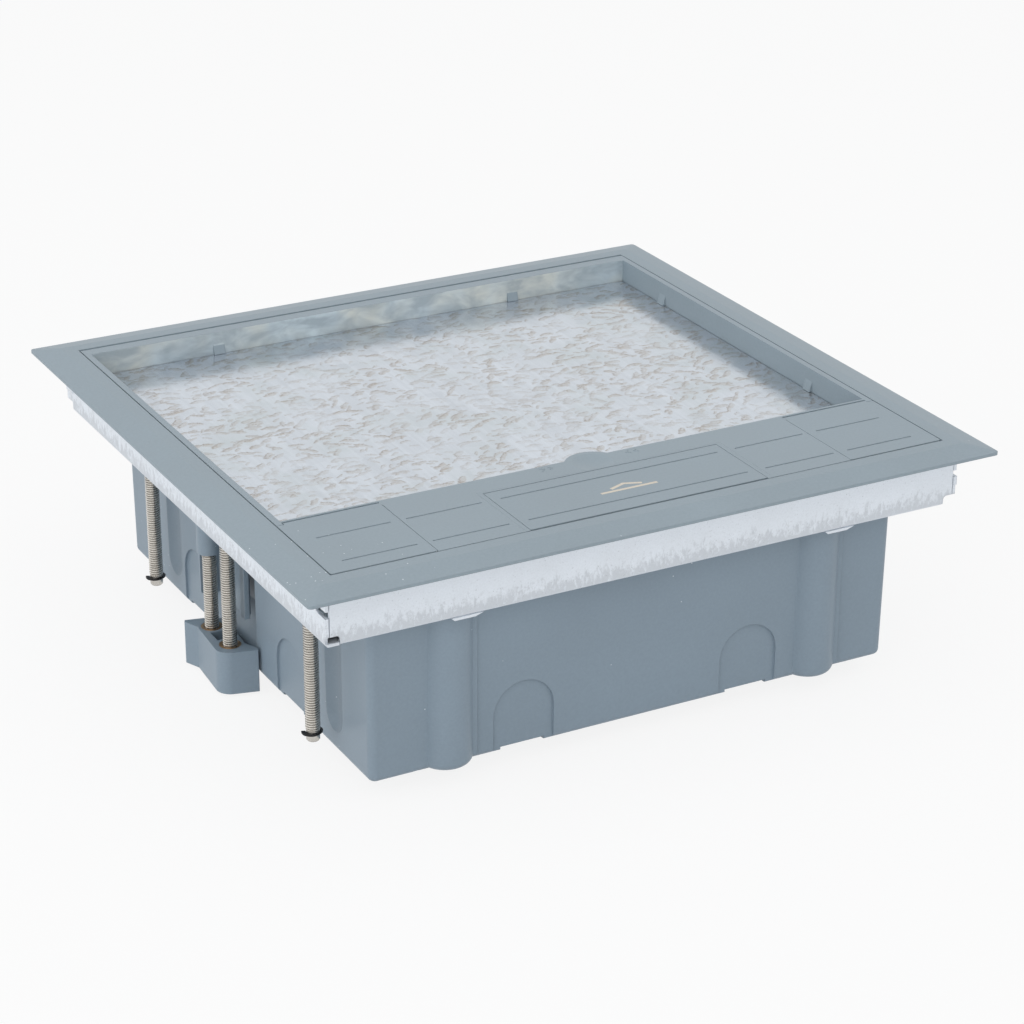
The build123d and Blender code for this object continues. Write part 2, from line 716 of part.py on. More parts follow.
# Moulded box: drafted walls, pillars, knock-outs, stud channels and clamp pockets
with BuildPart() as box_shell:
    with BuildSketch(Plane.XY.offset(base_z)):
        RectangleRounded(box_w - 2 * box_lean, box_d - 2 * box_lean, box_corner_r)
    with BuildSketch(Plane.XY.offset(box_top_z)):
        RectangleRounded(box_w, box_d, box_corner_r)
    loft()
    fillet(box_shell.edges().group_by(Axis.Z)[0], box_foot_r)
    add(pillars.part)
    chord = sqrt(pillar_r**2 - (pillar_r - pillar_proud) ** 2)
    y_rib = box_d / 2 + pillar_rib_t
    for x, y in pillar_spots:
        x_rib = x + chord
        y_side = 1 if y > 0 else -1
        y_in = y_side * (y_rib - box_wall)
        z_rib = base_z + box_foot_r
        block(x_rib - pillar_rib_w, x_rib + pillar_rib_w, y_in, y_side * y_rib, z_rib, box_top_z)

    with BuildSketch(Plane.XY.offset(floor_z)):
        RectangleRounded(box_w - 2 * box_wall, box_d - 2 * box_wall, box_corner_r)
        with Locations(*stud_spots):
            Circle(channel_r + box_wall, mode=Mode.SUBTRACT)
        with Locations(*screw_spots):
            Circle(boss_r, mode=Mode.SUBTRACT)
        pocket_mid = (pocket_front + pocket_rear) / 2
        pocket_w = 2 * (pocket_t + box_wall)
        pocket_d = pocket_rear - pocket_front + 2 * box_wall
        for side in (-1, 1):
            with Locations((side * box_w / 2, -side * pocket_mid)):
                Rectangle(pocket_w, pocket_d, mode=Mode.SUBTRACT)
    extrude(amount=box_top_z - floor_z, mode=Mode.SUBTRACT)

    for x, y in stud_spots:
        pin_z(x, y, channel_r, channel_foot_z, box_top_z, Mode.SUBTRACT)
        with Locations((x, y, channel_foot_z)):
            Sphere(channel_r, mode=Mode.SUBTRACT)

    for side in (-1, 1):
        y_start = pocket_front if side < 0 else -pocket_rear
        x_wall = box_w / 2
        with BuildSketch(Plane.XZ.offset(-y_start)):
            with BuildLine():
                Polyline(
                    (side * (x_wall + pocket_t), box_top_z),
                    (side * (x_wall - pocket_t), box_top_z),
                    (side * (x_wall - pocket_t), pocket_slope_z),
                    (side * x_wall, pocket_foot_z),
                    (side * (x_wall + pocket_t), pocket_foot_z),
                    close=True,
                )
            make_face()
        extrude(amount=-(pocket_rear - pocket_front), mode=Mode.SUBTRACT)

    for side in (-1, 1):
        y_face = side * (box_d / 2 - box_lean - knock_t)
        x_face = side * (box_w / 2 - box_lean - knock_t)
        for middle in (-knock_x, knock_x):
            extrude(knock_out(Plane.XZ.offset(-y_face), middle), amount=-side * box_wall, mode=Mode.SUBTRACT)
            z_lift = base_z + knock_lift
            x0 = middle - knock_w / 2 + knock_foot
            x1 = middle + knock_w / 2 - knock_foot
            block(x0, x1, y_face - side * knock_sill, y_face + side * box_wall, base_z, z_lift, Mode.SUBTRACT)
        for middle in (-knock_y, knock_y):
            extrude(knock_out(Plane.YZ.offset(x_face), middle), amount=side * box_wall, mode=Mode.SUBTRACT)
            z_lift = base_z + knock_lift
            y0 = middle - knock_w / 2 + knock_foot
            y1 = middle + knock_w / 2 - knock_foot
            block(x_face - side * knock_sill, x_face + side * box_wall, y0, y1, base_z, z_lift, Mode.SUBTRACT)
        with Locations((side * (box_w / 2 - box_lean), pad_y, pad_z)):
            Cylinder(pad_r, 2 * (pad_t + box_lean), rotation=(0, 90, 0))

    for x, y in screw_spots:
        pin_z(x, y, height_hole_r, height_screw_foot_z - bore_spare, box_top_z, Mode.SUBTRACT)
    with BuildSketch(Plane.XY.offset(box_top_z)):
        with Locations(*screw_spots):
            RegularPolygon(height_nut_af / 2, 6, major_radius=False)
    extrude(amount=-height_nut_h, mode=Mode.SUBTRACT)
    for x, y in support_spots:
        pin_z(x, y, support_boss_r, floor_z, support_foot_z)
        pin_z(x, y, support_screw_r, support_foot_z - support_screw_len, support_foot_z, Mode.SUBTRACT)
keep("box_shell", box_shell.part)

# Nuts in the tops of the pillars
with BuildPart() as height_nuts:
    with BuildSketch(Plane.XY.offset(box_top_z - height_nut_h)):
        with Locations(*screw_spots):
            RegularPolygon(height_nut_af / 2, 6, major_radius=False)
            Circle(height_screw_r + running, mode=Mode.SUBTRACT)
    extrude(amount=height_nut_h)
keep("height_nuts", height_nuts.part)

# Height screws: a slotted head on the seat's lug and a shank down into the pillar
for name, (sx, sy) in corners.items():
    with BuildPart() as height_screw:
        x = sx * pillar_x
        y = sy * screw_y
        pin_z(x, y, height_screw_r, height_screw_foot_z, lug_z)
        pin_z(x, y, height_head_r, lug_z, lug_z + height_head_h)
        drive_slot(x, y, height_head_r, lug_z + height_head_h)
    keep(f"height_screw_{name}", height_screw.part)

# Corner studs with a screwdriver slot on top and a groove for the clip near the foot
for name, (sx, sy) in corners.items():
    with BuildPart() as stud:
        x = sx * stud_x
        y = stud_front_y if sy < 0 else stud_rear_y
        drop = 0 if sy < 0 else stud_rear_drop
        groove_z = clip_z - drop
        pin_z(x, y, stud_r, stud_foot_z - drop, stud_top_z - drop)
        chamfer(stud.edges().filter_by(GeomType.CIRCLE), stud_chamfer)
        drive_slot(x, y, stud_r, stud_top_z - drop)
        with BuildSketch(Plane.XY.offset(groove_z)):
            with Locations((x, y)):
                Circle(stud_r)
                Circle(clip_groove_r, mode=Mode.SUBTRACT)
        extrude(amount=clip_t, mode=Mode.SUBTRACT)
    keep(f"corner_stud_{name}", stud.part)

    with BuildPart() as clip:
        inset = (clip_t - clip_blade_t) / 2
        with BuildSketch(Plane.XY.offset(groove_z + inset)):
            with Locations((x, y)):
                Circle(clip_r)
                Circle(clip_groove_r + running, mode=Mode.SUBTRACT)
            with Locations((x, y - clip_r / 2)):
                Rectangle(clip_mouth, clip_r, mode=Mode.SUBTRACT)
        extrude(amount=clip_blade_t)
    keep(f"stud_clip_{name}", clip.part)

# Claw: two opposed arms, a lobe round each screw and a pocket between them
with BuildPart() as claw_left:
    with BuildSketch(Plane.XY.offset(claw_foot_z)):
        with BuildLine():
            half_outline = [
                (claw_tip_x, -claw_tip_y + claw_tip_t),
                (claw_neck_x, -claw_neck_y),
                (claw_half, claw_shoulder_y),
                (-claw_tip_x + claw_tip_t / 2, claw_tip_y),
            ]
            Polyline(half_outline + [(-x, -y) for x, y in half_outline], close=True)
        make_face()
        fillet(vertices().sort_by_distance((claw_half, claw_shoulder_y))[0], claw_lobe_r)
        fillet(vertices().sort_by_distance((-claw_half, -claw_shoulder_y))[0], claw_lobe_r)
        with Locations((0, clamp_pitch / 2), (0, -clamp_pitch / 2)):
            Circle(insert_r, mode=Mode.SUBTRACT)
    extrude(amount=claw_h)
    with BuildSketch(Plane.XY.offset(claw_top_z)):
        Rectangle(claw_pocket_w, claw_pocket_d)
    extrude(amount=-claw_pocket_t, mode=Mode.SUBTRACT)
claw_solid = claw_left.part.moved(Location((-clamp_x, clamp_y, 0)))
keep("claw_left", claw_solid)
keep("claw_right", claw_solid.rotate(Axis.Z, 180))

# Threaded inserts of the claws
with BuildPart() as claw_inserts_left:
    for x, y in clamp_spots:
        pin_z(x, y, insert_r, claw_foot_z, claw_top_z)
        pin_z(x, y, clamp_screw_r + running, claw_foot_z, claw_top_z, Mode.SUBTRACT)
keep("claw_inserts_left", claw_inserts_left.part)
keep("claw_inserts_right", claw_inserts_left.part.rotate(Axis.Z, 180))

# Clamp screws: a slotted head on the side rail's flange, a long shank through the claw and a wide end below
clamp_names = ("left_rear", "left_front", "right_front", "right_rear")
for name, (x, y) in zip(clamp_names, all_clamp_spots):
    with BuildPart() as clamp_screw:
        pin_z(x, y, clamp_screw_r, clamp_end_z, flange_z)
        pin_z(x, y, clamp_end_r, clamp_end_z - clamp_end_t, clamp_end_z)
        pin_z(x, y, clamp_head_r, flange_z, flange_z + clamp_head_h)
        drive_slot(x, y, clamp_head_r, flange_z + clamp_head_h)
    keep(f"clamp_screw_{name}", clamp_screw.part)

# Module supports: a plate with one long window on two folded legs with screwed feet
row_y = {"rear": row_rear_y, "front": row_front_y}
for name, y in row_y.items():
    with BuildPart() as support:
        window_x = gangs * module / 2 + module_gap
        window_y = module / 2 + module_gap
        z_under = support_face_z - support_t
        block(-support_x, support_x, y - support_y, y + support_y, z_under, support_face_z)
        block(-window_x, window_x, y - window_y, y + window_y, z_under, support_face_z, Mode.SUBTRACT)
        for side in (-1, 1):
            x_leg = side * (support_x - support_t)
            block(x_leg, side * support_x, y - support_y, y + support_y, support_foot_z, z_under)
            x_foot = side * (support_x - support_foot)
            block(x_foot, x_leg, y - support_y, y + support_y, support_foot_z, support_foot_z + support_t)
        z_foot = support_foot_z + support_t
        for sx, sy in support_spots:
            if abs(sy - y) < support_y:
                pin_z(sx, sy, support_screw_r + running, support_foot_z, z_foot, Mode.SUBTRACT)
    keep(f"module_support_{name}", support.part)

with BuildPart() as support_screws:
    for x, y in support_spots:
        z_seat = support_foot_z + support_t
        pin_z(x, y, support_screw_r, support_foot_z - support_screw_len, z_seat)
        pin_z(x, y, support_head_r, z_seat, z_seat + support_head_h)
keep("support_screws", support_screws.part)


def outlet_module(x, y):
    """One outlet: a face over the support's window and an open-backed body through it."""
    half = module / 2 - module_gap
    z_face = support_face_z + module_face
    block(x - half, x + half, y - half - module_lip, y + half + module_lip, support_face_z, z_face)
    z_foot = support_face_z - module_body_h
    block(x - half, x + half, y - half, y + half, z_foot, support_face_z)
    inner = half - module_body_wall
    block(x - inner, x + inner, y - inner, y + inner, z_foot, support_face_z, Mode.SUBTRACT)


gang_x = [(index - (gangs - 1) / 2) * module for index in range(gangs)]
with BuildPart() as power_modules:
    for x in gang_x:
        outlet_module(x, row_rear_y)
        recess(x, row_rear_y + slot_spread, slot_w, slot_l, slot_t)
        for side in (-1, 1):
            recess(x + side * slot_spread, row_rear_y - slot_spread, slot_l, slot_w, slot_t)
keep("power_modules", power_modules.part)

with BuildPart() as data_modules:
    for x in gang_x[:2]:
        outlet_module(x, row_front_y)
        for side in (-1, 1):
            recess(x + side * slot_spread, row_front_y, port_w, port_w, port_t)
keep("data_modules", data_modules.part)

with BuildPart() as blank_modules:
    for x in gang_x[2:]:
        outlet_module(x, row_front_y)
keep("blank_modules", blank_modules.part)
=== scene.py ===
import json
import math

import bmesh
import bpy
import numpy as np
from bpy.props import FloatProperty, FloatVectorProperty, IntProperty, PointerProperty
from bpy.types import Operator, Panel, PropertyGroup
from mathutils import Matrix, Vector

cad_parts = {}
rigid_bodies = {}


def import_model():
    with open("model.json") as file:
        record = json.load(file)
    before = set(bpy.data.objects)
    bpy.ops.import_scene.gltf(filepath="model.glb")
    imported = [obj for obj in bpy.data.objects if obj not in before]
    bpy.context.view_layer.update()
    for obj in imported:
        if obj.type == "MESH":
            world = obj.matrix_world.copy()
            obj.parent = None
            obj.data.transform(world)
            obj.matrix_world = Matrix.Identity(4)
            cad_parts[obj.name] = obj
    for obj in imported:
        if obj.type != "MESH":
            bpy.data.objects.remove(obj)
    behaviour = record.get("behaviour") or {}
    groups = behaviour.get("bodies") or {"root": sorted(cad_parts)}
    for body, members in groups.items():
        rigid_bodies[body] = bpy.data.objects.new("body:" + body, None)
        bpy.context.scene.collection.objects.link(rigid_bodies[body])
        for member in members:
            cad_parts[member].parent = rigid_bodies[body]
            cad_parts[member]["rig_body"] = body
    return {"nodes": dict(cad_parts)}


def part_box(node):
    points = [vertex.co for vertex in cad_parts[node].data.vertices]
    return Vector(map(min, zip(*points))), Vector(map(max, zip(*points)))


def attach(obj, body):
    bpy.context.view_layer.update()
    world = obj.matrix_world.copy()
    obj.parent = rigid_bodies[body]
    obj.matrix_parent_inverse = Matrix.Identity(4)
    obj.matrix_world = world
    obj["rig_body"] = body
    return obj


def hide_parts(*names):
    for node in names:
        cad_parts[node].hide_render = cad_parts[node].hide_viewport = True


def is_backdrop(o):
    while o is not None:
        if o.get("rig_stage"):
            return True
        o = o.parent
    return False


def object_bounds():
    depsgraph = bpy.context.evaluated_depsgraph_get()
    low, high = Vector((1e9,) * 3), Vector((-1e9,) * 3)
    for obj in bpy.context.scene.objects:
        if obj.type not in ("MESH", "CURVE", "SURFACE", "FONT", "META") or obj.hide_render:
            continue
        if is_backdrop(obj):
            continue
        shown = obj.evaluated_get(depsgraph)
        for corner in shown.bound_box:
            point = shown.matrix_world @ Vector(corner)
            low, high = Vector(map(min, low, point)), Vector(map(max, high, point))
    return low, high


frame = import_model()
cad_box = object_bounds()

bl_info = {
    "name": "Floor socket box",
    "version": (1, 0, 0),
    "blender": (4, 5, 0),
    "location": "3D View > Sidebar > Floor box",
    "description": "Screws, clips, marks and finishes of a floor socket box, and its stage",
    "category": "Object",
}

MM = 0.001
CORNERS = ("front_left", "front_right", "rear_left", "rear_right")
CLAMPS = ("left_rear", "left_front", "right_front", "right_rear")

# Points closer than this are one point, and edges shorter than a tenth of it go
MERGE = 1e-7

# Where light and dust fall on the mouldings
RECESS_REAR = 115.5 * MM
DUSTY_CORNER = (cad_box[0][0], cad_box[0][1], 0.0)

# Slots in the heads of the screws and the ends of the studs
SLOT_WIDTH = 1.2 * MM
SLOT_DEPTH = 1.6 * MM

# The photograph's camera: azimuth, elevation and roll in degrees, and the point that it looks at
CAMERA_TURN = (-28.433, 24.126, 0.253)
CAMERA_TARGET = (-45.202 * MM, -98.189 * MM, 0.0)
CAMERA_DISTANCE = 1068.717 * MM
FOCAL_PIXELS = 2927.224
PHOTO_PIXELS = 1024
SENSOR_WIDTH = 36.0


def srgb(red, green, blue):
    """Linear colour from the 0 to 255 values that a colour has on screen."""
    part = np.array([red, green, blue]) / 255.0
    return tuple(np.where(part <= 0.04045, part / 12.92, ((part + 0.055) / 1.055) ** 2.4))


class SocketBoxSizes(PropertyGroup):
    thread_pitch: FloatProperty(
        name="Thread pitch", description="Rise of a screw thread in one turn", default=1.0 * MM,
        unit="LENGTH",
    )
    thread_depth: FloatProperty(
        name="Thread depth", description="Height of a thread's crest over its root", default=0.55 * MM,
        unit="LENGTH",
    )
    thread_play: FloatProperty(
        name="Thread play", description="How far a crest stays inside the nominal radius",
        default=0.15 * MM, unit="LENGTH",
    )
    thread_columns: IntProperty(
        name="Thread columns", description="Points round a threaded shank", default=28, min=8
    )
    clip_lean: FloatProperty(
        name="Clip mouth", description="Direction of a clip's mouth round its stud",
        default=math.radians(118), unit="ROTATION",
    )
    mark_width: FloatProperty(
        name="Printed mark", description="Width of the lift mark printed on the handle", default=24 * MM,
        unit="LENGTH",
    )
    chevron_length: FloatProperty(
        name="Raised chevron", description="Length along Y of the raised chevrons by the finger scoop",
        default=2.5 * MM, unit="LENGTH",
    )


class SocketBoxColours(PropertyGroup):
    lid_grey: FloatVectorProperty(
        name="Lid grey", description="Moulding of the trim, the lid and the handle",
        default=srgb(147, 161, 170), subtype="COLOR", size=3, min=0, max=1,
    )
    box_grey: FloatVectorProperty(
        name="Box grey", description="Moulding of the box, the claws and the guides",
        default=srgb(138, 154, 167), subtype="COLOR", size=3, min=0, max=1,
    )
    zinc: FloatVectorProperty(
        name="Zinc", description="Plating of the screws and studs", default=srgb(226, 222, 215),
        subtype="COLOR", size=3, min=0, max=1,
    )
    galvanised: FloatVectorProperty(
        name="Galvanised", description="Hot-dip coating of the rails and the supports",
        default=srgb(236, 242, 249), subtype="COLOR", size=3, min=0, max=1,
    )
    spangle: FloatVectorProperty(
        name="Spangle", description="Hot-dip coating of the lid plate, with its crystals",
        default=srgb(204, 211, 219), subtype="COLOR", size=3, min=0, max=1,
    )
    ink: FloatVectorProperty(
        name="Ink", description="Print on the handle", default=srgb(222, 212, 196),
        subtype="COLOR", size=3, min=0, max=1,
    )


def mesh_piece(name, *sheets, smooth=math.radians(40)):
    """One object from grids of points: grid neighbours join as quads, and points that coincide are merged."""
    points = []
    faces = []
    first = 0
    for sheet in sheets:
        rows, columns = sheet.shape[:2]
        index = first + np.arange(rows * columns).reshape(rows, columns)
        quads = np.stack([index[:-1, :-1], index[:-1, 1:], index[1:, 1:], index[1:, :-1]], axis=-1)
        points.append(sheet.reshape(-1, 3))
        faces.append(quads.reshape(-1, 4))
        first += rows * columns
    mesh = bpy.data.meshes.new(name)
    mesh.from_pydata(np.concatenate(points), [], np.concatenate(faces).tolist())
    shell = bmesh.new()
    shell.from_mesh(mesh)
    bmesh.ops.remove_doubles(shell, verts=shell.verts, dist=MERGE)
    bmesh.ops.dissolve_degenerate(shell, edges=shell.edges, dist=MERGE / 10)
    shell.to_mesh(mesh)
    shell.free()
    mesh.shade_smooth()
    mesh.set_sharp_from_angle(angle=smooth)
    piece = bpy.data.objects.new(name, mesh)
    bpy.context.scene.collection.objects.link(piece)
    return piece


def around(columns):
    """Angles once round, with the last on top of the first."""
    return np.linspace(0, 2 * math.pi, columns + 1)


def turned(centre, profile, columns=32):
    """A turned surface: profile points (radius, height) carried round a vertical axis through centre."""
    radius, height = np.array(profile, float).T
    turn = around(columns)
    x = centre[0] + radius[:, None] * np.cos(turn)
    y = centre[1] + radius[:, None] * np.sin(turn)
    z = np.repeat(height[:, None], columns + 1, axis=1)
    return np.stack([x, y, z], axis=-1)


def threaded(centre, radius, foot, top, pitch, depth, columns):
    """A thread: radius falls by depth from crest to root with height / pitch - turn, and the ends are flat.

    One pitch has five points, at steps of it: two on the crest, two in the root, and the next crest's start.
    At both ends the crest grows out of the root over the run-out.
    """
    steps = np.array([0.0, 0.09, 0.42, 0.58, 0.91])
    height = np.array([0.0, 0.0, -1.0, -1.0, 0.0])
    run_out = 0.7 * pitch
    turns = int(math.ceil((top - foot) / pitch)) + 2
    phase = (np.arange(turns)[:, None] + steps).ravel() - 1.0
    level = foot + pitch * (phase[:, None] + around(columns) / (2 * math.pi))
    inside = (level > foot) & (level < top)
    fade = np.clip(np.minimum(level - foot, top - level) / run_out, 0, 1)
    crest = radius - depth * (1 - fade)
    root = radius - depth
    blend = np.tile(height, turns)[:, None] + 1
    reach = np.where(inside, root + (crest - root) * blend, root)
    turn = around(columns)
    z = np.clip(level, foot, top)
    x = centre[0] + reach * np.cos(turn)
    y = centre[1] + reach * np.sin(turn)
    body = np.stack([x, y, z], axis=-1)
    pole = np.array([centre[0], centre[1], 0.0])
    low = np.tile(pole + (0, 0, foot), (1, columns + 1, 1))
    high = np.tile(pole + (0, 0, top), (1, columns + 1, 1))
    return np.concatenate([low, body, high])


def prism(outline, foot, top, edge):
    """An upright prism on a convex outline, whose upper rim is drawn in by edge towards its middle."""
    outline = np.vstack([outline, outline[:1]])
    middle = outline[:-1].mean(axis=0)
    reach = np.linalg.norm(outline - middle, axis=1, keepdims=True)
    drawn = middle + (outline - middle) * (1 - edge / reach)
    pole = np.repeat(middle[None], len(outline), 0)
    rows = [(pole, foot), (outline, foot), (outline, top - edge), (drawn, top), (pole, top)]
    return np.array([np.column_stack([ring, np.full(len(ring), z)]) for ring, z in rows])


def slotted_top(centre, radius, foot, top, width, edge):
    """The two halves of a slotted head over its slot floor: circle segments on each side of the slot."""
    start = math.asin(width / 2 / radius)
    turn = np.linspace(start, math.pi - start, 17)
    upper = np.column_stack([radius * np.cos(turn), radius * np.sin(turn)])
    halves = (upper, -upper)
    return [prism(half + np.array(centre), foot, top, edge) for half in halves]


def mark_roots(piece, centre, radius, depth):
    """Point attribute root: 0 on a thread's crest, 1 in its root, by distance from the axis, and 0 inside;
    the plated finish paints shade in the roots by it.
    """
    place = np.empty(len(piece.data.vertices) * 3)
    piece.data.vertices.foreach_get("co", place)
    reach = np.hypot(place[0::3] - centre[0], place[1::3] - centre[1])
    core = radius - 1.5 * depth
    share = np.where(reach < core, 0, np.clip((radius - reach) / depth, 0, 1))
    piece.data.attributes.new("root", "FLOAT", "POINT").data.foreach_set("value", share)


def closed_ends(band):
    """A band whose first and last rows, each a closed section, are capped by a point in their middle."""
    ends = [np.repeat(row[:-1].mean(axis=0)[None, None], len(row), 1) for row in (band[0], band[-1])]
    return np.concatenate([ends[0], band, ends[1]])


def arc_band(centre, turn, inner, outer, foot, top, edge):
    """A flat open ring: an eased section carried along the angles turn between radii inner and outer."""
    inner = np.broadcast_to(inner, turn.shape)[:, None]
    outer = np.broadcast_to(outer, turn.shape)[:, None]
    side = np.array([1, 1, 1, 1, 0, 0, 0, 0, 1])
    ease = np.array([-1, 0, 0, -1, 1, 0, 0, 1, -1]) * edge
    level = np.array([foot, foot + edge, top - edge, top, top, top - edge, foot + edge, foot, foot])
    radius = inner + (outer - inner) * side + ease
    x = centre[0] + radius * np.cos(turn)[:, None]
    y = centre[1] + radius * np.sin(turn)[:, None]
    z = np.broadcast_to(level, x.shape)
    return closed_ends(np.stack([x, y, z], axis=-1)[::-1])


def clip_band(centre, lean, foot, top):
    """An open spring clip round a stud, with its mouth at the angle lean; part runs from 0 to 1 round it.

    The outer radius is least at the back, where a wide bell curve holds it, and has a narrow bell curve on
    each side for an ear, up to a greatest radius. The inner radius waves in and out.
    """
    half_mouth = math.radians(38)
    back_r = 3.35 * MM
    end_rise = 0.75 * MM
    back_share = 0.30
    ear_rise = 0.9 * MM
    ear_place = 0.34
    ear_share = 0.06
    greatest_r = 4.38 * MM
    inner_r = 2.32 * MM
    inner_rise = 0.45 * MM
    waves = 5
    edge = 0.1 * MM
    turn = np.linspace(lean + half_mouth, lean + 2 * math.pi - half_mouth, 41)
    part = (turn - lean) / (2 * math.pi)
    from_back = np.abs(part - 0.5)
    back = np.exp(-((2 * from_back / back_share) ** 2))
    ear = np.exp(-(((from_back - ear_place) / ear_share) ** 2))
    outer = np.minimum(back_r + end_rise * (1 - back) + ear_rise * ear, greatest_r)
    inner = inner_r + inner_rise * np.sin(part * waves * math.pi) ** 2
    return arc_band(centre, turn, inner, outer, foot, top, edge)


def stroke(path, width, foot, top, edge):
    """A raised line: a low trapezium section carried along a path, with mitred corners and closed ends."""
    path = np.array(path, float)
    run = np.diff(path, axis=0)
    run /= np.linalg.norm(run, axis=1, keepdims=True)
    left = np.column_stack([-run[:, 1], run[:, 0]])
    before = np.vstack([left[:1], left])
    after = np.vstack([left, left[-1:]])
    mitre = (before + after) / (1 + (before * after).sum(axis=1, keepdims=True))
    offset = np.array([-width / 2, width / 2, width / 2 - edge, -width / 2 + edge, -width / 2])
    level = np.array([foot, foot, top, top, foot])
    flat = path[:, None, :] + mitre[:, None, :] * offset[None, :, None]
    return closed_ends(np.dstack([flat, np.broadcast_to(level, flat.shape[:2])]))


class Finish:
    """A material being made: a Principled surface, with short ways to add and join nodes."""

    def __init__(self, name, **sockets):
        self.material = bpy.data.materials.new(name)
        self.material.use_nodes = True
        self.tree = self.material.node_tree
        self.tree.nodes.clear()
        self.surface = self.node("ShaderNodeBsdfPrincipled", **sockets)
        output = self.node("ShaderNodeOutputMaterial")
        self.join(self.surface, "BSDF", output, "Surface")
        self.place = self.node("ShaderNodeTexCoord")

    def node(self, kind, settings=None, **sockets):
        made = self.tree.nodes.new(kind)
        for key, value in (settings or {}).items():
            setattr(made, key, value)
        for key, value in sockets.items():
            made.inputs[key.replace("_", " ")].default_value = value
        return made

    def join(self, source, output, target, entry):
        self.tree.links.new(source.outputs[output], target.inputs[entry])

    def mapped(self, scale):
        """Object coordinates, stretched."""
        mapping = self.node("ShaderNodeMapping", Scale=scale)
        self.join(self.place, "Object", mapping, "Vector")
        return mapping

    def noise(self, source, output, scale, detail, roughness, distortion=0.0):
        made = self.node("ShaderNodeTexNoise", Scale=scale, Detail=detail, Roughness=roughness,
                         Distortion=distortion)
        self.join(source, output, made, "Vector")
        return made

    def ramp(self, source, output, *stops):
        """A colour ramp through (position, colour) stops; a number stands for a grey."""
        made = self.node("ShaderNodeValToRGB")
        self.join(source, output, made, "Fac")
        elements = made.color_ramp.elements
        while len(elements) < len(stops):
            elements.new(0.5)
        for element, (position, colour) in zip(elements, stops):
            element.position = position
            grey = isinstance(colour, (int, float))
            element.color = (colour, colour, colour, 1) if grey else (*colour[:3], 1)
        return made

    def blend(self, kind, factor, first, second):
        """Mixes two colours; factor, first and second are each a value or a (node, output) pair."""
        made = self.node("ShaderNodeMix", {"data_type": "RGBA", "blend_type": kind})
        for entry, value in ((0, factor), (6, first), (7, second)):
            if isinstance(value, tuple) and isinstance(value[0], bpy.types.Node):
                self.join(value[0], value[1], made, entry)
            elif entry == 0:
                made.inputs[0].default_value = value
            else:
                made.inputs[entry].default_value = (*value[:3], 1)
        return made

    def maths(self, operation, first, second=None, third=None):
        made = self.node("ShaderNodeMath", {"operation": operation})
        for entry, value in enumerate((first, second, third)):
            if isinstance(value, tuple):
                self.join(value[0], value[1], made, entry)
            elif value is not None:
                made.inputs[entry].default_value = value
        return made

    def eased(self, radius):
        """Shading normal with every edge rounded to radius."""
        return self.node("ShaderNodeBevel", {"samples": 6}, Radius=radius)

    def bump(self, source, output, strength, distance, normal):
        """Relief of the source's height on a normal that is already eased, joined to the surface."""
        made = self.node("ShaderNodeBump", Strength=strength, Distance=distance)
        self.join(source, output, made, "Height")
        self.join(normal, "Normal", made, "Normal")
        self.join(made, "Normal", self.surface, "Normal")

    def edge_mask(self, normal):
        """How far the rounded normal leans from the flat one: 0 on a face, rising on an edge."""
        geometry = self.node("ShaderNodeNewGeometry")
        made = self.node("ShaderNodeVectorMath", {"operation": "DOT_PRODUCT"})
        self.join(normal, "Normal", made, 0)
        self.join(geometry, "Normal", made, 1)
        return self.maths("SUBTRACT", 1.0, (made, "Value"))

    def paint(self, *pieces):
        for piece in pieces:
            if piece.type == "MESH" and piece.material_slots:
                for entry in piece.material_slots:
                    entry.material = self.material
            else:
                piece.data.materials.append(self.material)


def node(name):
    """A CAD node's object, by name."""
    return frame["nodes"][name]


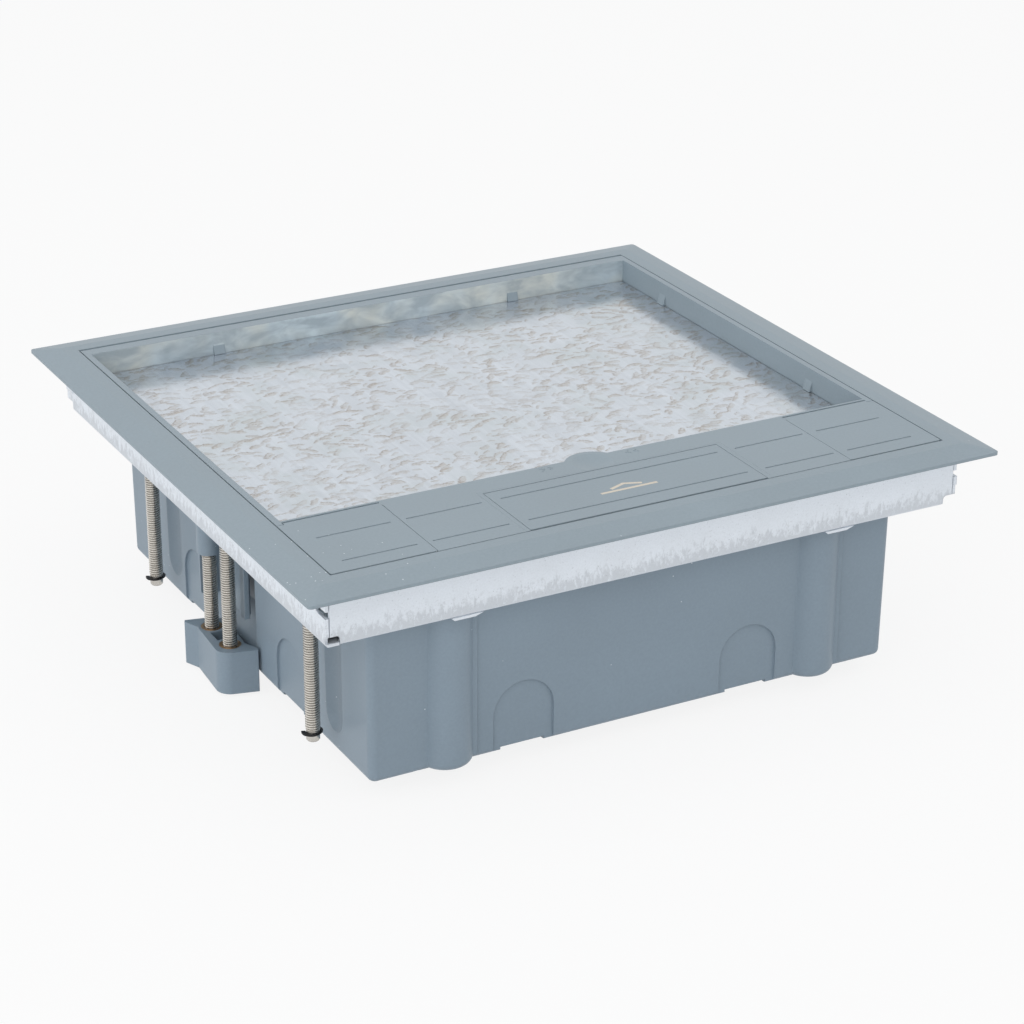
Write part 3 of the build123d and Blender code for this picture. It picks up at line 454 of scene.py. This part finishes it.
def moulded(name, colour, roughness, grain, specks, dust=0.0, wall=None):
    """Moulded plastic: clouds of tone, fine grain, paler edges that are partly wear and partly a painted
    highlight, specks, and dust thinning out from a corner.

    With wall, the face at that y gets the soft patches of light that a bright plate in front of it throws.
    """
    grain_height = 0.04 * MM
    dust_reach = 70 * MM
    most_wear_and_highlight = 0.22
    finish = Finish(name, Roughness=roughness, IOR=1.48)
    soft = finish.eased(0.45 * MM)
    clouds = finish.noise(finish.place, "Object", 14.0, 3.0, 0.55)
    dark = tuple(part * 0.955 for part in colour)
    light = tuple(min(part * 1.035, 1.0) for part in colour)
    tone = finish.ramp(clouds, "Fac", (0.3, dark), (0.7, light))
    fine = finish.noise(finish.place, "Object", 900.0, 3.0, 0.6)
    mottle = finish.ramp(fine, "Fac", (0.3, 0.965), (0.7, 1.03))
    base = finish.blend("MULTIPLY", 1.0, (tone, "Color"), (mottle, "Color"))
    # Painted light: patches that the bright plate throws on the wall at y = wall
    if wall:
        base = painted_thrown_light(finish, base, wall)
    # Paler edges: partly wear and partly a painted highlight along the rounded edges
    edge = finish.edge_mask(soft)
    wear = finish.maths("MULTIPLY", (edge, "Value"), 0.9)
    worn_and_highlit = finish.maths("MINIMUM", (wear, "Value"), most_wear_and_highlight)
    pale = tuple(min(part * 1.5, 1.0) for part in colour)
    base = finish.blend("MIX", (worn_and_highlit, "Value"), (base, "Result"), pale)
    if specks or dust:
        cells = finish.node("ShaderNodeTexVoronoi", Scale=500.0)
        finish.join(finish.place, "Object", cells, "Vector")
        near = finish.maths("LESS_THAN", (cells, "Distance"), 0.12)
        pick = finish.node("ShaderNodeSeparateColor")
        finish.join(cells, "Color", pick, "Color")
        away = finish.node("ShaderNodeVectorMath", {"operation": "DISTANCE"})
        finish.join(finish.place, "Object", away, 0)
        away.inputs[1].default_value = DUSTY_CORNER
        share = finish.node("ShaderNodeMapRange", From_Max=dust_reach, To_Min=specks + dust, To_Max=specks)
        finish.join(away, "Value", share, "Value")
        rare = finish.maths("LESS_THAN", (pick, "Red"), (share, "Result"))
        spot = finish.maths("MULTIPLY", (near, "Value"), (rare, "Value"))
        fleck = finish.maths("MULTIPLY", (spot, "Value"), 0.8)
        base = finish.blend("MIX", (fleck, "Value"), (base, "Result"), srgb(232, 238, 241))
    finish.join(base, "Result", finish.surface, "Base Color")
    gloss = finish.ramp(clouds, "Fac", (0.25, roughness - 0.04), (0.75, roughness + 0.05))
    finish.join(gloss, "Color", finish.surface, "Roughness")
    finish.bump(fine, "Fac", grain, grain_height, soft)
    return finish


def painted_thrown_light(finish, base, wall):
    """Painted light: soft cream and bluish patches on the wall at y = wall that faces -Y, standing in for
    light thrown on it by the bright plate in front, a little fainter at its ends.
    """
    brightest_x = 22 * MM
    plain_reach = 50 * MM
    faint_reach = 104 * MM
    wall_depth = 0.2 * MM
    place = finish.node("ShaderNodeSeparateXYZ")
    finish.join(finish.place, "Object", place, "Vector")
    facing = finish.node("ShaderNodeSeparateXYZ")
    finish.join(finish.place, "Normal", facing, "Vector")
    front = finish.maths("LESS_THAN", (facing, "Y"), -0.9)
    here = finish.maths("COMPARE", (place, "Y"), wall, wall_depth)
    here = finish.maths("MULTIPLY", (front, "Value"), (here, "Value"))
    aside = finish.maths("SUBTRACT", (place, "X"), brightest_x)
    aside = finish.maths("ABSOLUTE", (aside, "Value"))
    fade = finish.node("ShaderNodeMapRange", {"interpolation_type": "SMOOTHSTEP"}, From_Min=plain_reach,
                       From_Max=faint_reach, To_Min=1.0, To_Max=0.8)
    finish.join(aside, "Value", fade, "Value")
    glow = finish.maths("MULTIPLY", (here, "Value"), (fade, "Result"))
    wide = finish.noise(finish.mapped(scale=(1.0, 1.0, 2.2)), "Vector", 62.0, 3.0, 0.6, 0.4)
    patch = finish.ramp(wide, "Fac", (0.38, 0.3), (0.62, 0.85))
    amount = finish.maths("MULTIPLY", (glow, "Value"), (patch, "Color"))
    tint = finish.noise(finish.place, "Object", 40.0, 2.0, 0.5)
    colour = finish.ramp(tint, "Fac", (0.4, srgb(211, 224, 230)), (0.6, srgb(222, 225, 218)))
    return finish.blend("MIX", (amount, "Value"), (base, "Result"), (colour, "Color"))


def leaves(finish, source, spacing, length, width, share):
    """One leaf-shaped mark to a cell, mostly along X: its dark rim and its whole inside, as two value nodes.

    A leaf is an ellipse with half axes length and width, turned by an angle of its cell. Its rim is what a
    second ellipse, lowered by part of the first one's size, leaves free.
    """
    angle_span = 1.8
    least_angle = -1.0
    lowering = (-0.12, 0.5, 0.0)
    cells = finish.node("ShaderNodeTexVoronoi", {"voronoi_dimensions": "2D"}, Scale=1 / spacing)
    finish.join(source, "Vector", cells, "Vector")
    pick = finish.node("ShaderNodeSeparateColor")
    finish.join(cells, "Color", pick, "Color")
    away = finish.node("ShaderNodeVectorMath", {"operation": "SUBTRACT"})
    finish.join(source, "Vector", away, 0)
    finish.join(cells, "Position", away, 1)
    turned_away = finish.node("ShaderNodeVectorRotate", {"rotation_type": "Z_AXIS"})
    finish.join(away, "Vector", turned_away, "Vector")
    angle = finish.maths("MULTIPLY_ADD", (pick, "Blue"), angle_span, least_angle)
    finish.join(angle, "Value", turned_away, "Angle")
    sized = finish.node("ShaderNodeVectorMath", {"operation": "MULTIPLY"})
    finish.join(turned_away, "Vector", sized, 0)
    sized.inputs[1].default_value = (1 / length, 1 / width, 0.0)
    whole = finish.node("ShaderNodeVectorMath", {"operation": "LENGTH"})
    finish.join(sized, "Vector", whole, 0)
    lowered = finish.node("ShaderNodeVectorMath", {"operation": "ADD"})
    finish.join(sized, "Vector", lowered, 0)
    lowered.inputs[1].default_value = lowering
    second = finish.node("ShaderNodeVectorMath", {"operation": "LENGTH"})
    finish.join(lowered, "Vector", second, 0)
    chosen = finish.maths("LESS_THAN", (pick, "Green"), share)
    body = finish.ramp(whole, "Value", (0.78, 1.0), (1.0, 0.0))
    free = finish.ramp(second, "Value", (0.7, 0.0), (1.0, 1.0))
    inside = finish.maths("MULTIPLY", (body, "Color"), (chosen, "Value"))
    rim = finish.maths("MULTIPLY", (inside, "Value"), (free, "Color"))
    return rim, inside


def spangled(name, colour):
    """Hot-dip zinc sheet: crystals that mirror unlike, rolled streaks, and brownish leaf-shaped flakes."""
    bend = 3.2 * MM
    finish = Finish(name, Metallic=0.72, Roughness=0.2)
    warp = finish.noise(finish.place, "Object", 330.0, 3.0, 0.65)
    centred = finish.node("ShaderNodeVectorMath", {"operation": "SUBTRACT"})
    finish.join(warp, "Color", centred, 0)
    centred.inputs[1].default_value = (0.5, 0.5, 0.5)
    bent = finish.node("ShaderNodeVectorMath", {"operation": "MULTIPLY_ADD"})
    finish.join(centred, "Vector", bent, 0)
    bent.inputs[1].default_value = (bend, bend, 0.0)
    finish.join(finish.place, "Object", bent, 2)
    cells = finish.node("ShaderNodeTexVoronoi", Scale=130.0)
    finish.join(bent, "Vector", cells, "Vector")
    pick = finish.node("ShaderNodeSeparateColor")
    finish.join(cells, "Color", pick, "Color")
    crystal = finish.ramp(pick, "Green", (0.0, 0.94), (0.5, 0.985), (1.0, 1.0))
    base = finish.blend("MULTIPLY", 1.0, (crystal, "Color"), colour)
    rolled = finish.noise(finish.mapped(scale=(1.0, 0.035, 1.0)), "Vector", 520.0, 2.0, 0.6)
    streak = finish.ramp(rolled, "Fac", (0.34, 0.95), (0.66, 1.04))
    base = finish.blend("MULTIPLY", 1.0, (base, "Result"), (streak, "Color"))
    clouds = finish.noise(finish.place, "Object", 34.0, 3.0, 0.6)
    dull = finish.ramp(clouds, "Fac", (0.48, 0.0), (0.68, 0.36))
    base = finish.blend("MIX", (dull, "Color"), (base, "Result"), srgb(178, 190, 189))
    fine = finish.noise(finish.place, "Object", 1100.0, 3.0, 0.7)
    grains = finish.ramp(fine, "Fac", (0.36, 0.25), (0.58, 1.0))
    patchy = finish.noise(finish.place, "Object", 60.0, 2.0, 0.5)
    thick = finish.ramp(patchy, "Fac", (0.38, 0.35), (0.58, 1.0))
    strength = finish.maths("MULTIPLY", (grains, "Color"), (thick, "Color"))
    for spacing, length, width, share, depth in (
        (7.4 * MM, 3.9 * MM, 1.6 * MM, 0.75, 1.0),
        (4.4 * MM, 2.2 * MM, 0.9 * MM, 0.6, 0.95),
        (10.0 * MM, 5.6 * MM, 1.1 * MM, 0.35, 1.0),
    ):
        rim, inside = leaves(finish, bent, spacing, length, width, share)
        pale = finish.maths("MULTIPLY", (inside, "Value"), (strength, "Value"))
        pale = finish.maths("MULTIPLY", (pale, "Value"), 0.65 * depth)
        base = finish.blend("MIX", (pale, "Value"), (base, "Result"), srgb(178, 173, 166))
        dark = finish.maths("MULTIPLY", (rim, "Value"), (strength, "Value"))
        dark = finish.maths("MULTIPLY", (dark, "Value"), 0.7 * depth)
        base = finish.blend("MIX", (dark, "Value"), (base, "Result"), srgb(148, 141, 137))
    finish.join(base, "Result", finish.surface, "Base Color")
    gloss = finish.ramp(pick, "Blue", (0.0, 0.16), (1.0, 0.26))
    finish.join(gloss, "Color", finish.surface, "Roughness")
    finish.bump(clouds, "Fac", 0.15, 0.05 * MM, finish.eased(0.2 * MM))
    return finish


def galvanised_sheet(name, colour, foot, top):
    """Galvanised strip: pale bluish coat, fine frost, small dark pits, and grey flames mostly kept off the
    bottom lip, which stays light as a painted highlight of its bend.
    """
    finish = Finish(name, Metallic=0.35, Roughness=0.42)
    soft = finish.eased(0.35 * MM)
    place = finish.node("ShaderNodeSeparateXYZ")
    finish.join(finish.place, "Object", place, "Vector")
    height = finish.node("ShaderNodeMapRange", From_Min=foot, From_Max=top)
    finish.join(place, "Z", height, "Value")
    flames = finish.noise(finish.mapped(scale=(1.0, 1.0, 0.5)), "Vector", 480.0, 6.0, 0.75, 0.3)
    lift = finish.maths("MULTIPLY_ADD", (height, "Result"), -0.8, (flames, "Fac"))
    licks = finish.ramp(lift, "Value", (0.24, 0.0), (0.38, 0.55))
    # Painted highlight: the grey flames are mostly kept off the bottom lip so that it stays light like the
    # highlight on its bend
    lip = finish.ramp(height, "Result", (0.04, 0.15), (0.09, 1.0))
    grey = finish.maths("MULTIPLY", (licks, "Color"), (lip, "Color"))
    frost = finish.noise(finish.place, "Object", 1300.0, 3.0, 0.7)
    clouds = finish.noise(finish.place, "Object", 60.0, 3.0, 0.6)
    veil = finish.ramp(clouds, "Fac", (0.35, 0.95), (0.65, 1.0))
    grain = finish.ramp(frost, "Fac", (0.35, 0.96), (0.65, 1.02))
    base = finish.blend("MULTIPLY", 1.0, (veil, "Color"), colour)
    base = finish.blend("MULTIPLY", 1.0, (base, "Result"), (grain, "Color"))
    base = finish.blend("MIX", (grey, "Value"), (base, "Result"), srgb(188, 193, 199))
    pits = finish.ramp(frost, "Fac", (0.28, 0.6), (0.33, 0.0))
    base = finish.blend("MIX", (pits, "Color"), (base, "Result"), srgb(110, 116, 122))
    finish.join(base, "Result", finish.surface, "Base Color")
    gloss = finish.ramp(clouds, "Fac", (0.3, 0.34), (0.7, 0.52))
    finish.join(gloss, "Color", finish.surface, "Roughness")
    finish.bump(flames, "Fac", 0.2, 0.05 * MM, soft)
    return finish


def plated(name, colour, metallic, roughness, wear, spots):
    """Plated or blackened turned metal: drifting tone, fine rings, spots of wear, and painted shade darkening
    the thread roots.
    """
    finish = Finish(name, Metallic=metallic, Roughness=roughness)
    drift = finish.noise(finish.place, "Object", 180.0, 3.0, 0.6)
    rings = finish.noise(finish.mapped(scale=(0.15, 0.15, 1.0)), "Vector", 2600.0, 2.0, 0.5)
    dark = tuple(part * 0.84 for part in colour)
    tone = finish.ramp(drift, "Fac", (0.3, dark), (0.6, colour))
    speck = finish.ramp(rings, "Fac", (spots, 0.0), (min(spots + 0.12, 1.0), 1.0))
    amount = finish.maths("MULTIPLY", (speck, "Color"), 0.35)
    base = finish.blend("MIX", (amount, "Value"), (tone, "Color"), wear)
    # Painted shade: base colour darkened in the thread roots by the root attribute, standing in for the shade
    # in the grooves
    root = finish.node("ShaderNodeAttribute", {"attribute_name": "root"})
    shade = finish.ramp(root, "Fac", (0.1, 1.0), (0.8, 0.56))
    base = finish.blend("MULTIPLY", 1.0, (base, "Result"), (shade, "Color"))
    finish.join(base, "Result", finish.surface, "Base Color")
    gloss = finish.ramp(drift, "Fac", (0.3, roughness - 0.06), (0.7, roughness + 0.1))
    finish.join(gloss, "Color", finish.surface, "Roughness")
    finish.bump(rings, "Fac", 0.2, 0.02 * MM, finish.eased(0.12 * MM))
    return finish


def printed(name, colour):
    """Thin print: flat ink that is a little patchy."""
    finish = Finish(name, Roughness=0.5)
    patch = finish.noise(finish.place, "Object", 1500.0, 3.0, 0.6)
    thin = finish.ramp(patch, "Fac", (0.3, tuple(part * 0.86 for part in colour)), (0.6, colour))
    finish.join(thin, "Color", finish.surface, "Base Color")
    return finish


class SOCKET_OT_mouldings(Operator):
    """Give the trim, lid, box and claws their moulded grey finish, with edges paled partly as wear and partly
    as painted highlight, and painted light on the lid frame's rear wall
    """
    bl_idname = "socket.mouldings"
    bl_label = "Mouldings"

    def execute(self, context):
        colours = context.scene.socket_colours
        lid_grey = tuple(colours.lid_grey)
        dusty = {"grain": 0.10, "specks": 0.002, "dust": 0.4}
        lid = moulded("lid moulding", lid_grey, roughness=0.46, **dusty)
        # The lid frame's rear wall gets painted patches of light from the plate
        rims = moulded("lid frame moulding", lid_grey, roughness=0.44, wall=RECESS_REAR, **dusty)
        box = moulded("box moulding", tuple(colours.box_grey), roughness=0.42, grain=0.12, specks=0.012)
        lid_nodes = ("trim_frame", "flap_left", "flap_right", "handle", "handle_bezel", "lid_seat")
        box_nodes = ("box_shell", "claw_left", "claw_right", "clamp_guide_left", "clamp_guide_right")
        lid.paint(*[node(name) for name in lid_nodes])
        rims.paint(node("lid_frame"))
        box.paint(*[node(name) for name in box_nodes])
        return {"FINISHED"}


class SOCKET_OT_sheet_metal(Operator):
    """Give the lid plate, rails and supports their galvanised finish"""
    bl_idname = "socket.sheet_metal"
    bl_label = "Sheet metal"

    def execute(self, context):
        colours = context.scene.socket_colours
        zinc_coat = tuple(colours.galvanised)
        spangled("lid plate spangle", tuple(colours.spangle)).paint(node("lid_plate"))
        for name, nodes in (
            ("galvanised rail", ("front_rail", "rear_rail", "left_rail", "right_rail")),
            ("galvanised support", ("module_support_rear", "module_support_front")),
        ):
            low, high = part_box(nodes[0])
            galvanised_sheet(name, zinc_coat, low.z, high.z).paint(*[node(each) for each in nodes])
        return {"FINISHED"}


class SOCKET_OT_outlets(Operator):
    """Give the outlet modules their white finish"""
    bl_idname = "socket.outlets"
    bl_label = "Outlet modules"

    def execute(self, context):
        white = moulded("white moulding", srgb(226, 227, 224), roughness=0.38, grain=0.06, specks=0.0)
        white.paint(node("power_modules"), node("data_modules"), node("blank_modules"))
        return {"FINISHED"}


def threaded_shank(centre, radius, foot, top, sizes):
    """A threaded shank with the pitch and depth that the sizes give."""
    return threaded(centre, radius, foot, top, sizes.thread_pitch, sizes.thread_depth, sizes.thread_columns)


def screw_piece(name, rim, shank, head, sizes):
    """A threaded screw with a slotted head over a CAD screw's box; a clamp screw has a wider end below."""
    low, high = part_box(name)
    centre = ((low.x + high.x) / 2, (low.y + high.y) / 2)
    floor = high.z - SLOT_DEPTH
    under = high.z - head
    foot = low.z
    sheets = []
    if name.startswith("clamp"):
        end_t = 1.2 * MM
        end_r = 3.6 * MM
        foot = low.z + end_t
        profile = [(0, low.z), (end_r - 0.6 * MM, low.z), (end_r - 0.2 * MM, low.z + 0.12 * MM),
                   (end_r, low.z + 0.5 * MM), (end_r, foot), (0, foot)]
        sheets.append(turned(centre, profile))
    sheets.append(threaded_shank(centre, shank, foot, under, sizes))
    ease = 0.2 * MM
    top_ease = 0.35 * MM
    profile = [(0, under), (rim - ease, under), (rim, under + ease), (rim, floor), (0, floor)]
    sheets.append(turned(centre, profile))
    sheets += slotted_top(centre, rim, floor, high.z, SLOT_WIDTH, top_ease)
    piece = mesh_piece(f"threaded_{name}", *sheets)
    mark_roots(piece, centre, shank, sizes.thread_depth)
    return piece


def stud_piece(corner, sizes):
    """A corner stud: thread between a slotted end and a groove for the clip, and a rounded foot."""
    name = f"corner_stud_{corner}"
    low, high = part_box(name)
    clip_low, clip_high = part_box(f"stud_clip_{corner}")
    centre = ((low.x + high.x) / 2, (low.y + high.y) / 2)
    radius = (high.x - low.x) / 2 - sizes.thread_play
    neck = radius - 0.65 * MM
    end = radius - 0.25 * MM
    clip_play = 0.1 * MM
    thread_start = 0.3 * MM
    collar = 0.4 * MM
    top_ease = 0.3 * MM
    floor = high.z - SLOT_DEPTH
    under = clip_low.z - clip_play
    over = clip_high.z + clip_play
    profile = [(0, low.z), (end - 1.0 * MM, low.z), (end - 0.4 * MM, low.z + 0.25 * MM),
               (end, low.z + 0.8 * MM), (end, under), (neck, under), (neck, over), (end, over),
               (end, over + collar), (0, over + collar)]
    sheets = [turned(centre, profile)]
    sheets.append(threaded_shank(centre, radius, over + thread_start, floor, sizes))
    sheets += slotted_top(centre, end, floor, high.z, SLOT_WIDTH, top_ease)
    piece = mesh_piece(f"threaded_{name}", *sheets)
    mark_roots(piece, centre, radius, sizes.thread_depth)
    return piece


def stand_in(piece, name, finish):
    """Paint a piece that rides on a CAD node's body and is shown in that node's place."""
    finish.paint(piece)
    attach(piece, node(name)["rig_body"])
    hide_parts(name)


class SOCKET_OT_screws(Operator):
    """Make the threaded corner studs, clamp screws and height screws"""
    bl_idname = "socket.screws"
    bl_label = "Screws"

    def execute(self, context):
        sizes = context.scene.socket_sizes
        colours = context.scene.socket_colours
        zinc = plated("zinc plate", tuple(colours.zinc), metallic=0.95, roughness=0.24,
                      wear=srgb(158, 154, 148), spots=0.7)
        pieces = {f"corner_stud_{corner}": stud_piece(corner, sizes) for corner in CORNERS}
        # Radius of the head, nominal radius of the thread and height of the head
        screws = {f"clamp_screw_{clamp}": (5.0 * MM, 3.0 * MM, 3.4 * MM) for clamp in CLAMPS}
        screws |= {f"height_screw_{corner}": (4.4 * MM, 2.5 * MM, 3.2 * MM) for corner in CORNERS}
        for name, (rim, nominal, head) in screws.items():
            pieces[name] = screw_piece(name, rim, nominal - sizes.thread_play, head, sizes)
        for name, piece in pieces.items():
            stand_in(piece, name, zinc)
        zinc.paint(node("support_screws"), node("stud_nuts"), node("height_nuts"), node("lid_pivots"),
                   node("flap_pins"), node("handle_pin"))
        brass = plated("brass", srgb(184, 152, 118), metallic=0.85, roughness=0.3,
                       wear=srgb(150, 104, 78), spots=0.6)
        brass.paint(node("claw_inserts_left"), node("claw_inserts_right"))
        return {"FINISHED"}


class SOCKET_OT_clips(Operator):
    """Make the open spring clips near the feet of the corner studs"""
    bl_idname = "socket.clips"
    bl_label = "Stud clips"

    def execute(self, context):
        lean = context.scene.socket_sizes.clip_lean
        black = plated("blackened spring steel", srgb(38, 38, 40), metallic=0.6, roughness=0.36,
                       wear=srgb(92, 92, 94), spots=0.66)
        for corner in CORNERS:
            name = f"stud_clip_{corner}"
            low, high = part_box(name)
            stud_low, stud_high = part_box(f"corner_stud_{corner}")
            centre = ((stud_low.x + stud_high.x) / 2, (stud_low.y + stud_high.y) / 2)
            piece = mesh_piece(f"open_{name}", clip_band(centre, lean, low.z, high.z))
            stand_in(piece, name, black)
        return {"FINISHED"}


def lift_mark(width):
    """The strokes of a flat chevron over a bar of the given width, on the middle of the handle's top."""
    low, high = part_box("handle")
    forward = 0.6 * MM
    centre_y = (low.y + high.y) / 2 - forward
    line_width = 1.4 * MM
    film = 0.02 * MM
    half = width / 2
    wing = half * 0.55
    bar_y = centre_y - 2.0 * MM
    wing_y = centre_y + 0.1 * MM
    peak_y = centre_y + 2.6 * MM
    bar = [(-half, bar_y), (half, bar_y)]
    chevron = [(-wing, wing_y), (0.0, peak_y), (wing, wing_y)]
    return [stroke(path, line_width, high.z - film, high.z + film, 0.0) for path in (bar, chevron)]


def scoop_chevrons(length):
    """The strokes of two raised chevrons on each side of the finger scoop, which point at it."""
    first_x = 16.0 * MM
    pitch = 3.4 * MM
    rise = 1.5 * MM
    line_width = 0.7 * MM
    sunk = 0.05 * MM
    proud = 0.12 * MM
    bevel = 0.15 * MM
    from_plate = 3.2 * MM
    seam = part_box("lid_plate")[0].y - from_plate
    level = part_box("lid_frame")[1].z
    reach = length / 2
    sheets = []
    for side in (-1, 1):
        for step in (0, 1):
            x = side * (first_x + pitch * step)
            path = [(x + side * rise, seam - reach), (x, seam), (x + side * rise, seam + reach)]
            sheets.append(stroke(path[::side], line_width, level - sunk, level + proud, bevel))
    return sheets


class SOCKET_OT_marks(Operator):
    """Make the lift mark printed on the handle and the raised chevrons by the finger scoop"""
    bl_idname = "socket.marks"
    bl_label = "Marks"

    def execute(self, context):
        sizes = context.scene.socket_sizes
        colours = context.scene.socket_colours
        mark = mesh_piece("printed_lift_mark", *lift_mark(sizes.mark_width))
        printed("beige ink", tuple(colours.ink)).paint(mark)
        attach(mark, node("handle")["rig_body"])
        chevrons = mesh_piece("raised_chevrons", *scoop_chevrons(sizes.chevron_length))
        lid_grey = tuple(colours.lid_grey)
        finish = moulded("raised mark moulding", lid_grey, roughness=0.46, grain=0.10, specks=0.0)
        finish.paint(chevrons)
        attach(chevrons, node("lid_frame")["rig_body"])
        return {"FINISHED"}


def seen_directly(tree):
    """Output that is 1 for a camera, glossy or transmission ray and 0 for any other: the three's maximum."""
    rays = tree.nodes.new("ShaderNodeLightPath")
    level = rays.outputs["Is Camera Ray"]
    for ray in ("Is Glossy Ray", "Is Transmission Ray"):
        most = tree.nodes.new("ShaderNodeMath")
        most.operation = "MAXIMUM"
        tree.links.new(level, most.inputs[0])
        tree.links.new(rays.outputs[ray], most.inputs[1])
        level = most.outputs["Value"]
    return level


def mixed_surface(tree, share, first, second, kind):
    """Join an output node of a kind to a mix of two shaders, with share as the second one's part."""
    mix = tree.nodes.new("ShaderNodeMixShader")
    output = tree.nodes.new(kind)
    tree.links.new(share, mix.inputs["Fac"])
    tree.links.new(first, mix.inputs[1])
    tree.links.new(second, mix.inputs[2])
    tree.links.new(mix.outputs["Shader"], output.inputs["Surface"])


def floor_material():
    """Matt pale floor that mostly glows where it is seen, so that it is near white and keeps the shadow."""
    whiteness = 0.86
    glow_share = 0.86
    material = bpy.data.materials.new("pale floor")
    material.use_nodes = True
    tree = material.node_tree
    tree.nodes.clear()
    matt = tree.nodes.new("ShaderNodeBsdfDiffuse")
    matt.inputs["Color"].default_value = (whiteness, whiteness, whiteness, 1)
    glow = tree.nodes.new("ShaderNodeEmission")
    glow.inputs["Strength"].default_value = 1.0
    share = tree.nodes.new("ShaderNodeMath")
    share.operation = "MULTIPLY"
    share.inputs[1].default_value = glow_share
    tree.links.new(seen_directly(tree), share.inputs[0])
    mixed_surface(tree, share.outputs["Value"], matt.outputs["BSDF"], glow.outputs["Emission"],
                  "ShaderNodeOutputMaterial")
    return material


def white_surround():
    """World that is white where it is seen and a softer, slightly blue light elsewhere."""
    world = bpy.data.worlds.new("white surround")
    world.use_nodes = True
    tree = world.node_tree
    tree.nodes.clear()
    shades = []
    for colour, strength in (((0.97, 0.985, 1.0, 1), 0.62), ((1, 1, 1, 1), 1.0)):
        shade = tree.nodes.new("ShaderNodeBackground")
        shade.inputs["Color"].default_value = colour
        shade.inputs["Strength"].default_value = strength
        shades.append(shade.outputs["Background"])
    mixed_surface(tree, seen_directly(tree), shades[0], shades[1], "ShaderNodeOutputWorld")
    return world


def softbox(name, spot, aim, size, power):
    """A square area lamp at spot that faces aim."""
    light = bpy.data.lights.new(name, "AREA")
    light.shape = "SQUARE"
    light.size = size
    light.energy = power
    lamp = bpy.data.objects.new(name, light)
    lamp.location = spot
    lamp.rotation_euler = (Vector(aim) - Vector(spot)).to_track_quat("-Z", "Y").to_euler()
    return lamp


def photo_camera():
    """The photograph's camera: back from the target by azimuth and elevation, and rolled about that line."""
    azimuth, elevation, roll = np.radians(CAMERA_TURN)
    back = Vector((math.sin(azimuth) * math.cos(elevation), -math.cos(azimuth) * math.cos(elevation),
                   math.sin(elevation)))
    level_right = Vector((math.cos(azimuth), math.sin(azimuth), 0.0))
    level_up = back.cross(level_right)
    right = math.cos(roll) * level_right + math.sin(roll) * level_up
    up = -math.sin(roll) * level_right + math.cos(roll) * level_up
    lens = bpy.data.cameras.new("photo camera")
    lens.sensor_fit = "HORIZONTAL"
    lens.sensor_width = SENSOR_WIDTH
    lens.lens = FOCAL_PIXELS / PHOTO_PIXELS * SENSOR_WIDTH
    lens.clip_end = 50.0
    camera = bpy.data.objects.new("photo camera", lens)
    turn = Matrix((right, up, back)).transposed().to_4x4()
    camera.matrix_world = Matrix.Translation(Vector(CAMERA_TARGET) + back * CAMERA_DISTANCE) @ turn
    return camera


class SOCKET_OT_stage(Operator):
    """Make the floor, the soft light, the white surround and the camera"""
    bl_idname = "socket.stage"
    bl_label = "Stage"

    def execute(self, context):
        scene = context.scene
        scene.view_settings.view_transform = "Standard"
        gap = 0.2 * MM
        half = 12.0
        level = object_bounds()[0][2] - gap
        edge = np.array([-half, half])
        x, y = np.meshgrid(edge, edge)
        floor = mesh_piece("floor", np.stack([x, y, np.full_like(x, level)], axis=-1))
        floor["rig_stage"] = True
        floor.data.materials.append(floor_material())
        scene.world = white_surround()
        lamps = (
            softbox("overhead softbox", (-0.1, -0.45, 1.5), aim=(0.0, 0.0, 0.0), size=2.8, power=10.0),
            softbox("front fill", (-0.8, -1.6, 0.6), aim=(0.0, 0.0, -0.05), size=2.2, power=3.4),
            softbox("left fill", (-1.7, -0.3, 0.4), aim=(0.0, 0.0, -0.05), size=2.0, power=9.5),
        )
        camera = photo_camera()
        for each in (*lamps, camera):
            scene.collection.objects.link(each)
        scene.camera = camera
        return {"FINISHED"}


class SOCKET_PT_box(Panel):
    """Sizes, colours and pieces of the floor socket box"""
    bl_idname = "SOCKET_PT_box"
    bl_label = "Floor socket box"
    bl_space_type = "VIEW_3D"
    bl_region_type = "UI"
    bl_category = "Floor box"

    def draw(self, context):
        scene = context.scene
        groups = ((SocketBoxSizes, scene.socket_sizes), (SocketBoxColours, scene.socket_colours))
        for kind, group in groups:
            for name in kind.__annotations__:
                self.layout.prop(group, name)
        for operator in OPERATORS:
            self.layout.operator(operator.bl_idname)


OPERATORS = (
    SOCKET_OT_mouldings,
    SOCKET_OT_sheet_metal,
    SOCKET_OT_outlets,
    SOCKET_OT_screws,
    SOCKET_OT_clips,
    SOCKET_OT_marks,
    SOCKET_OT_stage,
)
CLASSES = (SocketBoxSizes, SocketBoxColours, *OPERATORS, SOCKET_PT_box)


def register():
    for item in CLASSES:
        bpy.utils.register_class(item)
    bpy.types.Scene.socket_sizes = PointerProperty(type=SocketBoxSizes)
    bpy.types.Scene.socket_colours = PointerProperty(type=SocketBoxColours)


def unregister():
    del bpy.types.Scene.socket_colours
    del bpy.types.Scene.socket_sizes
    for item in reversed(CLASSES):
        bpy.utils.unregister_class(item)


def main():
    register()
    for operator in OPERATORS:
        group, name = operator.bl_idname.split(".")
        getattr(getattr(bpy.ops, group), name)()


if __name__ == "__main__":
    main()
